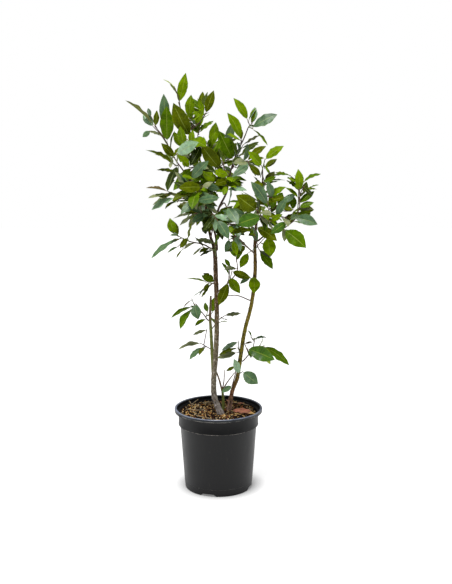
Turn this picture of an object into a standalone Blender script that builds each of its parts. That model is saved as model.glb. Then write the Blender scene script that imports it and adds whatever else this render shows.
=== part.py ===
"""Potted bay laurel: a shrub of two main stems with open leafy shoots, in a round nursery pot.

Metres, +Z up. The origin is the middle of the pot's flat underside, and the shrub shows its
good side to -Y. A bearing is an angle round +Z from +X, so 180 points left and 270 to the front.
"""

import math
import random
from collections import namedtuple
from itertools import product

import bmesh
import bpy
from mathutils import Vector
from mathutils.bvhtree import BVHTree

UP = Vector((0, 0, 1))
CLEAR = 0.0003

# Pot
POT_HEIGHT = 0.222
RIM_RADIUS = 0.1195
RIM_WIDTH = 0.0065
LIP_HEIGHT = 0.0095
COLLAR_RADIUS = 0.1085
COLLAR_FOOT = 0.1765
BODY_TOP_RADIUS = 0.104
FOOT_BAND = 0.018
FOOT_BAND_RADIUS = 0.0932
BASE_RADIUS = 0.0912
WALL = 0.0022
FLOOR = 0.004
LEDGE_HEIGHT = 0.0105
LEDGE_RADIUS = 0.074
POT_SIDES = 32
EDGE_ROUND = 0.002
SMALL_ROUND = 0.001
NOTCHES = 4
NOTCH_BEARING = -107
NOTCH_HEIGHT = 0.0076
NOTCH_BACK = 0.079
NOTCH_FOOT_SPAN = math.radians(29)
NOTCH_TOP_SPAN = math.radians(17)
CUT_MARGIN = 0.005
DRAIN_WIDTH = 0.008
DRAIN_HEIGHT = 0.0026
DRAIN_MIDDLE = 0.0057
DRAIN_OFFSET = math.radians(3.4)

# Soil
SOIL_EDGE = 0.2105
SOIL_TOP = 0.2135
SOIL_PLATEAU = 0.06

# Limbs: (x, y, z, radius) of the few places that a limb passes through
FOOT = SOIL_TOP + CLEAR
STEMS = {
    "stem_left": (
        (0.006, -0.035, FOOT, 0.0105),
        (-0.003, -0.034, 0.236, 0.0080),
        (-0.011, -0.033, 0.263, 0.0074),
        (-0.012, -0.031, 0.310, 0.0070),
        (-0.007, -0.029, 0.370, 0.0067),
        (-0.004, -0.026, 0.441, 0.0064),
        (-0.004, -0.022, 0.511, 0.0061),
        (-0.006, -0.018, 0.577, 0.0060),
        (-0.010, -0.013, 0.657, 0.0054),
        (-0.020, -0.009, 0.688, 0.0038),
        (-0.031, -0.003, 0.755, 0.0034),
        (-0.034, 0.005, 0.826, 0.0029),
        (-0.055, 0.015, 0.914, 0.0024),
        (-0.073, 0.020, 0.978, 0.0019),
        (-0.097, 0.020, 1.020, 0.0015),
    ),
    "stem_right": (
        (0.029, -0.003, FOOT, 0.0075),
        (0.034, -0.002, 0.248, 0.0058),
        (0.039, -0.001, 0.271, 0.0055),
        (0.051, -0.001, 0.304, 0.0054),
        (0.060, -0.005, 0.366, 0.0055),
        (0.071, -0.010, 0.438, 0.0051),
        (0.088, -0.020, 0.510, 0.0050),
        (0.097, -0.030, 0.598, 0.0049),
        (0.096, -0.035, 0.680, 0.0040),
        (0.102, -0.040, 0.751, 0.0028),
        (0.114, -0.045, 0.834, 0.0018),
        (0.114, -0.048, 0.864, 0.0014),
    ),
    "stem_green": (
        (-0.002, 0.002, FOOT, 0.0042),
        (-0.012, 0.001, 0.284, 0.0036),
        (-0.016, 0.000, 0.353, 0.0036),
        (-0.020, 0.000, 0.436, 0.0033),
        (-0.022, 0.000, 0.469, 0.0027),
        (-0.020, 0.000, 0.529, 0.0017),
    ),
}

# Boughs: the limb that each leaves, the height where it does, its radius there, and its way
TIP = "tip"
NEAR_TIP = "near tip"
NEAR_TIP_SHARE = 0.93
BOUGHS = {
    "leader_middle": (
        "stem_left",
        0.652,
        0.0031,
        (
            (-0.007, 0.000, 0.690, 0.0030),
            (-0.012, 0.002, 0.717, 0.0029),
            (0.002, 0.008, 0.763, 0.0027),
            (0.022, 0.015, 0.804, 0.0025),
            (0.031, 0.025, 0.851, 0.0022),
            (0.047, 0.040, 0.900, 0.0019),
            (0.069, 0.050, 0.946, 0.0016),
            (0.079, 0.055, 0.971, 0.0013),
        ),
    ),
    "bough_low_left": (
        "stem_left",
        0.660,
        0.0020,
        ((-0.037, -0.020, 0.669, 0.0018), (-0.073, -0.035, 0.679, 0.0014)),
    ),
    "bough_mid_left": (
        "stem_left",
        0.775,
        0.0018,
        ((-0.058, -0.010, 0.779, 0.0016), (-0.096, -0.030, 0.792, 0.0012)),
    ),
    "bough_upper_left": (
        "stem_left",
        0.795,
        0.0022,
        ((-0.069, 0.010, 0.831, 0.0020), (-0.108, 0.022, 0.882, 0.0016)),
    ),
    "bough_right": (
        "stem_right",
        0.680,
        0.0023,
        ((0.118, -0.035, 0.692, 0.0021), (0.140, -0.033, 0.701, 0.0019), (0.172, -0.030, 0.714, 0.0015)),
    ),
    "bough_front_left": (
        "stem_left",
        0.735,
        0.0020,
        ((-0.040, -0.050, 0.750, 0.0018), (-0.045, -0.105, 0.785, 0.0013)),
    ),
    "bough_front_middle": (
        "leader_middle",
        0.765,
        0.0019,
        ((0.015, -0.045, 0.780, 0.0017), (0.022, -0.115, 0.775, 0.0012)),
    ),
    "bough_back_left": (
        "stem_left",
        0.705,
        0.0022,
        ((-0.040, 0.050, 0.730, 0.0019), (-0.060, 0.110, 0.765, 0.0014)),
    ),
    "bough_back_middle": (
        "leader_middle",
        0.800,
        0.0020,
        ((0.020, 0.070, 0.830, 0.0017), (0.015, 0.120, 0.870, 0.0013)),
    ),
    "bough_back_right": (
        "stem_right",
        0.720,
        0.0020,
        ((0.105, 0.030, 0.735, 0.0017), (0.110, 0.090, 0.760, 0.0013)),
    ),
    "bough_back_top": (
        "stem_left",
        0.890,
        0.0018,
        ((-0.050, 0.055, 0.915, 0.0015), (-0.055, 0.085, 0.950, 0.0012)),
    ),
}

# Masses of foliage: the limb, the height or end where the mass grows from it, the seed, and its
# shoots. A shoot is the tip of its end leaf, that leaf's bearing, rise and length, how many
# leaves stand below it and, where its rise doesn't say, how far it turns its face to the front.
# A last number widens the leaf. The first shoot starts at the limb and carries the others.
EDGE_ON = -0.05
EDGE_SPREAD = 0.14
ASLANT = 0.35
BROAD = 2.5
Mass = namedtuple("Mass", "limb where seed shoots")
Shoot = namedtuple("Shoot", "tip bearing rise length leaves turned wide", defaults=(None, 1))
MASSES = {
    "foliage_top": Mass("stem_left", TIP, 1, (
        Shoot((-0.141, 0.000, 1.093), 180, 35, 0.036, 1, EDGE_ON),
        Shoot((-0.083, 0.020, 1.111), 0, 76, 0.080, 0),
    )),
    "foliage_top_right": Mass("stem_left", 0.968, 2, (
        Shoot((-0.011, 0.030, 1.067), 10, 70, 0.064, 1),
        Shoot((-0.068, -0.020, 1.054), 300, 80, 0.062, 1),
        Shoot((-0.037, 0.000, 1.024), 330, 65, 0.050, 0),
    )),
    "foliage_top_front": Mass("stem_left", 0.940, 3, (
        Shoot((-0.112, -0.060, 1.032), 200, 62, 0.096, 1),
        Shoot((-0.094, -0.080, 0.975), 250, 60, 0.062, 1),
        Shoot((-0.112, -0.050, 0.961), 225, 54, 0.048, 0, BROAD),
        Shoot((-0.061, -0.100, 0.965), 304, 71, 0.036, 0, BROAD),
    )),
    "foliage_far_left": Mass("bough_upper_left", TIP, 454, (
        Shoot((-0.241, 0.020, 1.041), 180, 41, 0.100, 0, EDGE_ON),
        Shoot((-0.198, 0.030, 1.007), 145, 44, 0.048, 0, BROAD),
        Shoot((-0.143, 0.050, 1.059), 90, 82, 0.088, 0),
        Shoot((-0.132, -0.010, 1.026), 270, 86, 0.093, 0),
        Shoot((-0.196, 0.000, 0.947), 180, -36, 0.026, 0, BROAD),
        Shoot((-0.156, -0.020, 1.015), 297, 74, 0.042, 0, BROAD),
        Shoot((-0.184, 0.040, 1.022), 130, 58, 0.025, 0),
        Shoot((-0.145, -0.040, 0.932), 211, 43, 0.053, 0, BROAD),
        Shoot((-0.170, 0.050, 0.901), 163, 6, 0.034, 0, EDGE_ON),
    )),
    "foliage_left_middle": Mass("bough_upper_left", NEAR_TIP, 305, (
        Shoot((-0.191, 0.030, 0.914), 173, 27, 0.090, 1, EDGE_ON),
        Shoot((-0.047, -0.085, 0.935), 329, 24, 0.074, 0, BROAD),
        Shoot((-0.164, 0.050, 0.861), 161, 11, 0.064, 0, EDGE_ON),
    )),
    "foliage_left_green": Mass("stem_left", 0.838, 6, (
        Shoot((-0.113, -0.080, 0.814), 200, -48, 0.074, 1),
        Shoot((-0.089, -0.115, 0.850), 230, 10, 0.060, 1),
        Shoot((-0.101, -0.095, 0.904), 220, 40, 0.051, 0, BROAD),
    )),
    "foliage_mid_left": Mass("bough_mid_left", TIP, 207, (
        Shoot((-0.186, -0.040, 0.818), 190, 9, 0.058, 1, EDGE_ON),
        Shoot((-0.178, -0.070, 0.794), 200, -10, 0.050, 0, EDGE_ON),
        Shoot((-0.170, -0.060, 0.763), 190, -27, 0.068, 0, ASLANT),
        Shoot((-0.171, -0.020, 0.772), 185, -31, 0.057, 0, ASLANT),
        Shoot((-0.137, -0.040, 0.764), 211, -25, 0.042, 0, EDGE_ON),
    )),
    "foliage_second_left": Mass("stem_left", 0.752, 8, (
        Shoot((-0.120, 0.020, 0.734), 170, -14, 0.059, 1, EDGE_ON),
        Shoot((-0.101, -0.020, 0.719), 197, -35, 0.046, 0, ASLANT),
        Shoot((-0.076, -0.050, 0.717), 214, -45, 0.050, 0, ASLANT),
        Shoot((-0.088, -0.030, 0.759), 206, -35, 0.028, 0),
    )),
    "foliage_low_left": Mass("bough_low_left", TIP, 459, (
        Shoot((-0.124, -0.050, 0.742), 223, 71, 0.046, 1, BROAD, 1.25),
        Shoot((-0.173, -0.060, 0.637), 188, -35, 0.088, 0, ASLANT),
        Shoot((-0.134, -0.030, 0.647), 180, -32, 0.034, 0, EDGE_ON),
        Shoot((-0.098, -0.070, 0.666), 209, -50, 0.034, 0, BROAD),
        Shoot((-0.090, -0.070, 0.657), 199, -27, 0.035, 0, ASLANT),
        Shoot((-0.108, -0.050, 0.637), 211, -49, 0.030, 0, EDGE_ON),
    )),
    "foliage_low_left_inner": Mass("stem_left", 0.640, 560, (
        Shoot((-0.059, -0.030, 0.682), 191, 12, 0.052, 1, ASLANT),
        Shoot((-0.049, -0.050, 0.651), 218, -18, 0.034, 0, ASLANT),
        Shoot((-0.068, -0.010, 0.639), 180, -42, 0.034, 0, EDGE_ON),
    )),
    "foliage_centre_top": Mass("stem_left", 0.870, 161, (
        Shoot((-0.042, -0.075, 0.929), 209, 49, 0.079, 1, BROAD),
        Shoot((-0.070, -0.080, 0.875), 225, -52, 0.064, 1),
    )),
    "foliage_centre_blue": Mass("stem_left", 0.785, 12, (
        Shoot((-0.022, -0.115, 0.890), 331, 42, 0.069, 1, BROAD),
        Shoot((0.005, -0.085, 0.818), 336, -9, 0.037, 0, BROAD),
        Shoot((-0.055, -0.090, 0.783), 214, -30, 0.062, 0),
    )),
    "foliage_centre_bright": Mass("leader_middle", 0.822, 13, (
        Shoot((-0.042, -0.085, 0.861), 221, 22, 0.057, 1, BROAD),
        Shoot((-0.014, -0.065, 0.861), 211, 13, 0.050, 1, BROAD),
        Shoot((-0.009, -0.060, 0.829), 221, -11, 0.047, 0, BROAD),
        Shoot((0.054, -0.050, 0.816), 310, -29, 0.045, 0, BROAD),
        Shoot((0.074, -0.080, 0.814), 329, -1, 0.059, 0, ASLANT),
    )),
    "foliage_front_left": Mass("bough_front_left", TIP, 164, (
        Shoot((-0.062, -0.190, 0.775), 260, -35, 0.068, 2),
        Shoot((-0.095, -0.165, 0.825), 204, -1, 0.062, 0, BROAD),
        Shoot((0.005, -0.170, 0.802), 341, 9, 0.061, 0, BROAD),
        Shoot((-0.066, -0.090, 0.735), 217, -20, 0.053, 0),
        Shoot((-0.075, -0.090, 0.773), 214, -16, 0.056, 1),
    )),
    "foliage_centre_low": Mass("stem_left", 0.690, 15, (
        Shoot((0.012, -0.100, 0.690), 290, -40, 0.070, 2),
        Shoot((-0.030, -0.105, 0.705), 265, -20, 0.062, 0),
        Shoot((0.031, -0.130, 0.709), 212, -6, 0.066, 0),
        Shoot((0.028, -0.120, 0.700), 326, -52, 0.058, 1),
        Shoot((0.043, -0.120, 0.700), 307, -46, 0.036, 0, BROAD),
    )),
    "foliage_front_middle": Mass("bough_front_middle", TIP, 16, (
        Shoot((0.050, -0.185, 0.738), 300, -35, 0.066, 1),
        Shoot((0.012, -0.155, 0.768), 202, 12, 0.067, 0, BROAD),
        Shoot((0.078, -0.130, 0.790), 330, 35, 0.060, 0, BROAD),
    )),
    "foliage_front_right": Mass("stem_right", 0.745, 167, (
        Shoot((0.045, -0.150, 0.807), 210, 34, 0.074, 0, BROAD, 1.2),
        Shoot((0.044, -0.160, 0.734), 212, -13, 0.078, 0, BROAD),
        Shoot((0.111, -0.115, 0.770), 219, 53, 0.039, 0, BROAD),
        Shoot((0.132, -0.120, 0.708), 205, -31, 0.055, 0, BROAD),
        Shoot((0.163, -0.100, 0.756), 341, 31, 0.036, 0, BROAD),
    )),
    "foliage_middle_top": Mass("leader_middle", TIP, 318, (
        Shoot((0.098, 0.080, 1.026), 60, 70, 0.046, 2),
        Shoot((0.040, 0.060, 1.049), 180, 57, 0.070, 0),
        Shoot((0.156, 0.050, 1.006), 0, 28, 0.076, 1),
    )),
    "foliage_middle_left": Mass("leader_middle", 0.930, 19, (
        Shoot((0.024, 0.030, 1.010), 185, 62, 0.078, 1),
        Shoot((-0.006, 0.050, 0.986), 60, 70, 0.069, 0),
    )),
    "foliage_middle_big": Mass("leader_middle", 0.878, 20, (
        Shoot((0.002, 0.005, 0.963), 190, 64, 0.086, 0, BROAD),
    )),
    "foliage_middle_right": Mass("leader_middle", 0.865, 21, (
        Shoot((0.110, 0.030, 0.952), 0, 30, 0.052, 1, EDGE_ON),
        Shoot((0.106, 0.000, 0.935), 340, 35, 0.060, 0, EDGE_ON),
        Shoot((0.085, -0.020, 0.879), 330, 14, 0.044, 0, BROAD),
        Shoot((0.036, -0.060, 0.847), 214, -27, 0.060, 1, ASLANT),
    )),
    "foliage_right_top": Mass("stem_right", TIP, 22, (
        Shoot((0.168, -0.050, 0.925), 0, 36, 0.060, 0, ASLANT),
        Shoot((0.076, -0.070, 0.912), 200, 45, 0.054, 0, BROAD),
        Shoot((0.079, -0.060, 0.877), 198, 41, 0.043, 0, BROAD),
        Shoot((0.152, -0.020, 0.892), 10, 35, 0.040, 0, ASLANT),
    )),
    "foliage_right_blue": Mass("stem_right", 0.790, 23, (
        Shoot((0.186, -0.020, 0.850), 0, 5, 0.052, 1, EDGE_ON),
        Shoot((0.083, -0.095, 0.837), 199, 52, 0.076, 0, BROAD),
        Shoot((0.124, -0.085, 0.838), 228, 65, 0.048, 0, BROAD),
        Shoot((0.148, -0.060, 0.848), 0, 23, 0.036, 0),
    )),
    "foliage_far_right": Mass("bough_right", TIP, 374, (
        Shoot((0.207, -0.020, 0.866), 180, 85, 0.056, 0, BROAD, 1.15),
        Shoot((0.270, 0.010, 0.852), 10, 25, 0.054, 0, EDGE_ON),
        Shoot((0.262, -0.020, 0.825), 350, 20, 0.036, 0, EDGE_ON),
        Shoot((0.148, 0.000, 0.855), 193, 11, 0.044, 0),
        Shoot((0.244, -0.010, 0.797), 23, -42, 0.034, 0, BROAD),
    )),
    "foliage_right_low": Mass("bough_right", NEAR_TIP, 325, (
        Shoot((0.258, -0.040, 0.724), 351, -16, 0.064, 1, BROAD),
        Shoot((0.226, -0.075, 0.667), 336, -36, 0.075, 0, BROAD, 1.3),
        Shoot((0.254, 0.020, 0.757), 20, -5, 0.048, 0, BROAD),
    )),
    "foliage_right_hang": Mass("stem_right", 0.668, 26, (
        Shoot((0.142, -0.060, 0.610), 330, -50, 0.060, 0),
        Shoot((0.134, -0.100, 0.647), 286, -67, 0.054, 0, BROAD, 1.5),
        Shoot((0.057, -0.060, 0.613), 215, -55, 0.046, 0),
        Shoot((0.150, -0.100, 0.688), 339, -31, 0.066, 0, BROAD),
    )),
    "foliage_right_inner": Mass("stem_right", 0.735, 27, (
        Shoot((0.203, 0.000, 0.801), 15, 30, 0.046, 2, BROAD),
        Shoot((0.150, 0.030, 0.811), 60, 55, 0.056, 1),
        Shoot((0.198, 0.020, 0.795), 83, 61, 0.042, 0, BROAD),
        Shoot((0.176, -0.030, 0.777), 340, 38, 0.037, 0, BROAD),
    )),
    "foliage_front_low": Mass("stem_right", 0.650, 28, (
        Shoot((0.048, -0.140, 0.657), 296, -59, 0.043, 0, BROAD),
        Shoot((0.018, -0.140, 0.664), 241, -53, 0.038, 0, BROAD),
    )),
    "foliage_middle_low": Mass("stem_left", 0.545, 29, (
        Shoot((0.026, -0.080, 0.680), 200, 60, 0.044, 1),
        Shoot((0.085, -0.070, 0.590), 338, -15, 0.055, 0, BROAD),
        Shoot((0.057, -0.080, 0.551), 313, -42, 0.055, 0, BROAD),
        Shoot((0.001, -0.060, 0.518), 216, -61, 0.066, 0, BROAD),
        Shoot((0.017, -0.030, 0.633), 180, 56, 0.026, 0),
    )),
    "foliage_middle_drop": Mass("stem_left", 0.560, 30, (
        Shoot((-0.041, 0.030, 0.586), 161, 25, 0.035, 0, BROAD),
        Shoot((-0.092, 0.020, 0.572), 180, 8, 0.062, 0, EDGE_ON),
        Shoot((-0.040, -0.010, 0.546), 212, -45, 0.026, 0),
        Shoot((-0.071, 0.020, 0.520), 180, -32, 0.041, 0, EDGE_ON),
    )),
    "foliage_arch": Mass("stem_right", 0.520, 131, (
        Shoot((0.002, -0.020, 0.514), 223, -28, 0.033, 0, ASLANT),
    )),
    "foliage_round": Mass("stem_right", 0.580, 132, (
        Shoot((0.094, -0.050, 0.546), 276, -63, 0.048, 0, BROAD, 1.5),
        Shoot((0.057, -0.030, 0.566), 201, -27, 0.032, 0, ASLANT),
    )),
    "foliage_green_left": Mass("stem_green", 0.462, 82, (
        Shoot((-0.127, 0.000, 0.469), 180, -27, 0.066, 0, EDGE_ON),
        Shoot((-0.101, -0.030, 0.445), 212, -53, 0.062, 0, ASLANT),
        Shoot((-0.052, -0.050, 0.475), 296, -59, 0.044, 0, BROAD, 1.5),
        Shoot((-0.062, -0.020, 0.453), 212, -25, 0.038, 0, ASLANT),
        Shoot((-0.035, -0.020, 0.516), 238, 68, 0.031, 0, BROAD),
        Shoot((-0.010, 0.020, 0.523), 0, 82, 0.044, 0, BROAD),
        Shoot((-0.095, 0.020, 0.493), 180, -42, 0.033, 0, EDGE_ON),
    )),
    "foliage_green_low": Mass("stem_green", 0.385, 33, (
        Shoot((-0.110, 0.000, 0.381), 180, -16, 0.066, 0, EDGE_ON),
        Shoot((-0.077, -0.030, 0.361), 209, -37, 0.051, 0, ASLANT),
        Shoot((-0.051, -0.040, 0.376), 230, -35, 0.032, 0, ASLANT),
        Shoot((-0.069, 0.000, 0.422), 180, -20, 0.040, 0, ASLANT),
    )),
    "foliage_stem_side": Mass("stem_green", 0.440, 34, (
        Shoot((0.062, 0.020, 0.477), 0, 7, 0.045, 0, ASLANT),
        Shoot((0.026, 0.012, 0.463), 338, -10, 0.022, 0),
        Shoot((0.027, 0.030, 0.452), 0, 3, 0.024, 0, EDGE_ON),
    )),
    "foliage_low_right": Mass("stem_right", 0.352, 35, (
        Shoot((0.191, -0.020, 0.343), 352, -36, 0.088, 0, ASLANT),
        Shoot((0.149, -0.070, 0.371), 338, -17, 0.082, 0, BROAD, 1.1),
        Shoot((0.131, 0.010, 0.413), 0, 7, 0.033, 1),
        Shoot((0.139, -0.040, 0.351), 330, -46, 0.029, 0),
        Shoot((0.092, -0.010, 0.405), 336, 15, 0.024, 0, ASLANT),
    )),
    "foliage_low_middle": Mass("stem_right", 0.372, 186, (
        Shoot((0.008, 0.010, 0.377), 180, -28, 0.052, 0, ASLANT),
        Shoot((0.001, -0.030, 0.375), 190, -18, 0.055, 0, EDGE_ON),
        Shoot((-0.002, -0.045, 0.367), 205, -10, 0.058, 0, ASLANT),
    )),
    "foliage_foot": Mass("stem_right", 0.318, 37, (
        Shoot((0.106, -0.045, 0.299), 339, -34, 0.053, 0, BROAD, 1.4),
        Shoot((0.041, -0.040, 0.367), 212, 67, 0.048, 0),
    )),
    "foliage_foot_left": Mass("stem_right", 0.282, 38, (
        Shoot((0.021, -0.020, 0.328), 180, -27, 0.027, 0),
        Shoot((0.009, -0.050, 0.277), 217, -20, 0.036, 0, BROAD),
    )),
    "foliage_back_left": Mass("bough_back_left", TIP, 39, (
        Shoot((-0.075, 0.205, 0.800), 95, 10, 0.070, 4),
        Shoot((-0.120, 0.150, 0.770), 150, 0, 0.064, 2),
        Shoot((-0.020, 0.170, 0.740), 50, -20, 0.066, 3),
    )),
    "foliage_back_middle": Mass("bough_back_middle", TIP, 40, (
        Shoot((0.020, 0.200, 0.930), 80, 35, 0.070, 4),
        Shoot((0.060, 0.165, 0.880), 30, 10, 0.064, 3),
        Shoot((-0.030, 0.170, 0.870), 140, 15, 0.062, 3),
    )),
    "foliage_back_right": Mass("bough_back_right", TIP, 41, (
        Shoot((0.115, 0.190, 0.780), 90, 10, 0.072, 4),
        Shoot((0.165, 0.130, 0.760), 30, -5, 0.066, 2),
        Shoot((0.060, 0.150, 0.735), 130, -15, 0.062, 3),
    )),
    "foliage_back_top": Mass("bough_back_top", TIP, 42, (
        Shoot((-0.050, 0.130, 1.030), 90, 60, 0.070, 3),
        Shoot((-0.095, 0.115, 0.995), 150, 40, 0.064, 2),
    )),
}

# The cut shoot between the stems: its green stub, then the dry prongs on top
CUT_SHOOT = (
    ((0.0125, 0.002, FOOT, 0.0044), (0.013, 0.006, 0.240, 0.0038), (0.010, 0.010, 0.272, 0.0031)),
    ((0.0098, 0.010, 0.265, 0.0027), (0.003, 0.012, 0.292, 0.0023), (-0.005, 0.013, 0.316, 0.0019)),
    ((0.0100, 0.010, 0.265, 0.0019), (0.015, 0.012, 0.292, 0.0014), (0.016, 0.013, 0.322, 0.0011)),
    ((0.0102, 0.011, 0.265, 0.0021), (0.026, 0.015, 0.290, 0.0016), (0.044, 0.018, 0.3135, 0.0011)),
)

# Growth
STEM_STEP = 0.032
BOUGH_STEP = 0.025
CUT_SHOOT_STEP = 0.02
BOUGH_START = 2.5
LIMB_BEVEL = 2
LIMB_SIDES = 8
CUT_SHOOT_SIDES = 6
GOLDEN_TURN = math.radians(137.5)
TURN_SPREAD = 0.3
TRY_TURN = math.radians(41)
TRIES = 6
NUDGES = (0, -0.01, 0.01, -0.02, 0.02, -0.03, 0.03, -0.045, 0.045, -0.06, 0.06, -0.075)
SIDE_ANGLE = math.radians(58)
FIRST_LEAF = 0.32
LAST_LEAF = 0.94
LEAF_PLACE = (0.2, 0.8)
LEAF_SIZES = (0.78, 1.08)
LEAF_SPREAD = (36, 64)
LEVEL_HEIGHT = 0.86
LIFT_PER_METRE = 1.1
UP_LOOK = 0.8
OUT_LOOK = 0.35
FORWARD_LOOK = 0.35
END_FORWARD_LOOK = 1.5
BACK_HALF = 0.14
LOOK_FADE = 0.08
LOOK_SPREAD = 0.3
TWIG_STEP = 0.03
TWIG_SPANS = 3
TWIG_SIDES = 3
TWIG_BEND = 0.38
TWIG_START = 1.5
TWIG_TIP = 0.0011
TWIG_GROWTH = 0.008
SHOOT_LEAN = 0.5
SHOOT_SHARES = [0.05 * k for k in range(2, 19)]
SHOOT_LEADS = (0.2, 0.4, 0.05, -0.1, -0.25, -0.4)
SIDE_TWIG_CHANCE = 0.25
SIDE_TWIG_LENGTH = 0.55
SIDE_TWIG_RADIUS = 0.8
SIDE_TWIG_LIFT = 0.2
SIDE_TWIG_LEAVES = 2
SIDE_LEAF_SIZE = 0.85
LOWEST_LEAF = POT_HEIGHT + 0.018
LEAF_CLEARANCE = 0.0006

# Leaves, as shares of their own length
LEAF_WIDTH = 0.40
WIDTH_SPREAD = (0.86, 1.14)
LEAF_ARCH = (0.02, 0.08)
LEAF_THICKNESS = 0.015
LEAF_OUTLINE = ((0.30, 0.84), (0.68, 0.90))
ROOT_RADIUS = 0.0005

Leaf = namedtuple("Leaf", "base tip face width arch")


def smooth_line(stations, step):
    """Points about a step apart on a smooth line through a few (x, y, z, radius) stations."""
    places = [Vector(station) for station in stations]
    spans = [(b.xyz - a.xyz).length for a, b in zip(places, places[1:])]
    slopes = []
    for i in range(len(places)):
        before, after = max(i - 1, 0), min(i + 1, len(places) - 1)
        slopes.append((places[after] - places[before]) / sum(spans[before:after]))
    line = [places[0]]
    for i, span in enumerate(spans):
        count = max(1, round(span / step))
        for k in range(1, count + 1):
            t = k / count
            line.append(
                places[i] * (2 * t**3 - 3 * t**2 + 1)
                + slopes[i] * span * (t**3 - 2 * t**2 + t)
                + places[i + 1] * (3 * t**2 - 2 * t**3)
                + slopes[i + 1] * span * (t**3 - t**2)
            )
    return line


def along_line(line, share):
    """The place, direction and radius at a share of the line's length."""
    spans = [(b.xyz - a.xyz).length for a, b in zip(line, line[1:])]
    left = share * sum(spans)
    for a, b, span in zip(line, line[1:], spans):
        if left <= span or b is line[-1]:
            part = min(left / span, 1)
            return a.xyz.lerp(b.xyz, part), (b.xyz - a.xyz).normalized(), a.w + (b.w - a.w) * part
        left -= span


def share_of(line, where):
    """The share of a limb's length at its end, near it, or at a height."""
    if where == TIP:
        return 1.0
    if where == NEAR_TIP:
        return NEAR_TIP_SHARE
    spans = [(b.xyz - a.xyz).length for a, b in zip(line, line[1:])]
    passed = 0.0
    for a, b, span in zip(line, line[1:], spans):
        if a.z <= where <= b.z:
            return (passed + span * (where - a.z) / (b.z - a.z)) / sum(spans)
        passed += span


def leave_limb(line, where, toward, radius):
    """Where a shoot of this radius starts, just clear of its limb, and the way it sets off."""
    place, along, thickness = along_line(line, share_of(line, where))
    if where == TIP:
        return place + along * CLEAR, along
    way = (toward - place).normalized()
    out = (way - along * way.dot(along)).normalized()
    angle = max(way.angle(along), SIDE_ANGLE)
    start = place + out * (thickness + CLEAR + radius * abs(math.cos(angle)))
    return start, out * math.sin(angle) + along * math.cos(angle)


def bent_path(start, heading, end, arrival, radius, tip_radius):
    """A twig that leaves start along heading and reaches end along arrival, as (x, y, z, radius)."""
    reach = TWIG_BEND * (end - start).length
    first, second = start + heading * reach, end - arrival * reach
    count = min(max(1, round((end - start).length / TWIG_STEP)), TWIG_SPANS)
    path = []
    for k in range(count + 1):
        t = k / count
        place = (
            start * (1 - t) ** 3
            + first * 3 * t * (1 - t) ** 2
            + second * 3 * t**2 * (1 - t)
            + end * t**3
        )
        path.append(Vector((*place, radius + (tip_radius - radius) * t)))
    return path


def tube(line, sides, grow=0.0):
    """Points and faces of a closed tapering tube round a line."""
    points, faces = [], []
    across = None
    for i, place in enumerate(line):
        ahead = line[min(i + 1, len(line) - 1)].xyz - line[max(i - 1, 0)].xyz
        ahead.normalize()
        across = (across or ahead.orthogonal()) - ahead * (across or ahead.orthogonal()).dot(ahead)
        across.normalize()
        other = ahead.cross(across)
        for k in range(sides):
            turn = 2 * math.pi * k / sides
            rim = across * math.cos(turn) + other * math.sin(turn)
            points.append(place.xyz + rim * (place.w + grow))
    for i in range(len(line) - 1):
        for k in range(sides):
            a, b = i * sides + k, i * sides + (k + 1) % sides
            faces.append((a, b, b + sides, a + sides))
    faces.append(tuple(range(sides))[::-1])
    faces.append(tuple(range(len(points) - sides, len(points))))
    return points, faces


def leaf_solid(leaf, grow=0.0):
    """Points and faces of a leaf: a thin blade with a keel below, arched from root to tip."""
    way = leaf.tip - leaf.base
    length = way.length
    way = way / length
    face = (leaf.face - way * leaf.face.dot(way)).normalized()
    side = way.cross(face)
    root = ROOT_RADIUS + grow
    points = [leaf.base + side * root, leaf.base - side * root, leaf.base - face * root]
    for share, fullness in LEAF_OUTLINE:
        middle = leaf.base + way * length * share + face * leaf.arch * 4 * share * (1 - share)
        half = leaf.width * fullness / 2 + grow
        top = middle + face * grow
        keel = middle - face * (LEAF_THICKNESS * length + grow)
        points += [top + side * half, top - side * half, keel]
    points.append(leaf.tip + way * grow)
    faces = [(0, 1, 2)]
    last = 3 * len(LEAF_OUTLINE)
    for first in range(0, last, 3):
        for k in range(3):
            a, b = first + k, first + (k + 1) % 3
            faces.append((a, b, b + 3, a + 3))
    faces += [(last + k, last + (k + 1) % 3, last + 3) for k in range(3)]
    return points, faces


def box_of(points):
    """The lowest and highest corners of some points."""
    low = [min(point[axis] for point in points) for axis in range(3)]
    high = [max(point[axis] for point in points) for axis in range(3)]
    return low, high


def direction(bearing, rise):
    """The unit vector with this bearing and this rise above the level, in degrees."""
    turn, up = math.radians(bearing), math.radians(rise)
    return Vector((math.cos(turn) * math.cos(up), math.sin(turn) * math.cos(up), math.sin(up)))


def leaf_face(chance, place, way, forward, spread):
    """The way a leaf's upper side looks: up, out of the crown and, in its front part, forward."""
    outward = Vector((place.x, place.y, 0)).normalized()
    forward *= min(max((BACK_HALF - place.y) / LOOK_FADE, 0), 1)
    look = UP * UP_LOOK + outward * OUT_LOOK - Vector((0, forward, 0))
    look += Vector([chance.uniform(-spread, spread) for _ in range(3)])
    return (look - way * look.dot(way)).normalized()


def new_leaf(chance, base, way, length, forward, spread=LOOK_SPREAD):
    """A leaf of this length from a place on its twig."""
    return Leaf(
        base=base,
        tip=base + way * length,
        face=leaf_face(chance, base, way, forward, spread),
        width=length * LEAF_WIDTH * chance.uniform(*WIDTH_SPREAD),
        arch=length * chance.uniform(*LEAF_ARCH),
    )


def side_look(shoot):
    """How far forward the leaves up a shoot look, and how far they differ."""
    return (EDGE_ON, EDGE_SPREAD) if shoot.turned == EDGE_ON else (FORWARD_LOOK, LOOK_SPREAD)


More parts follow.
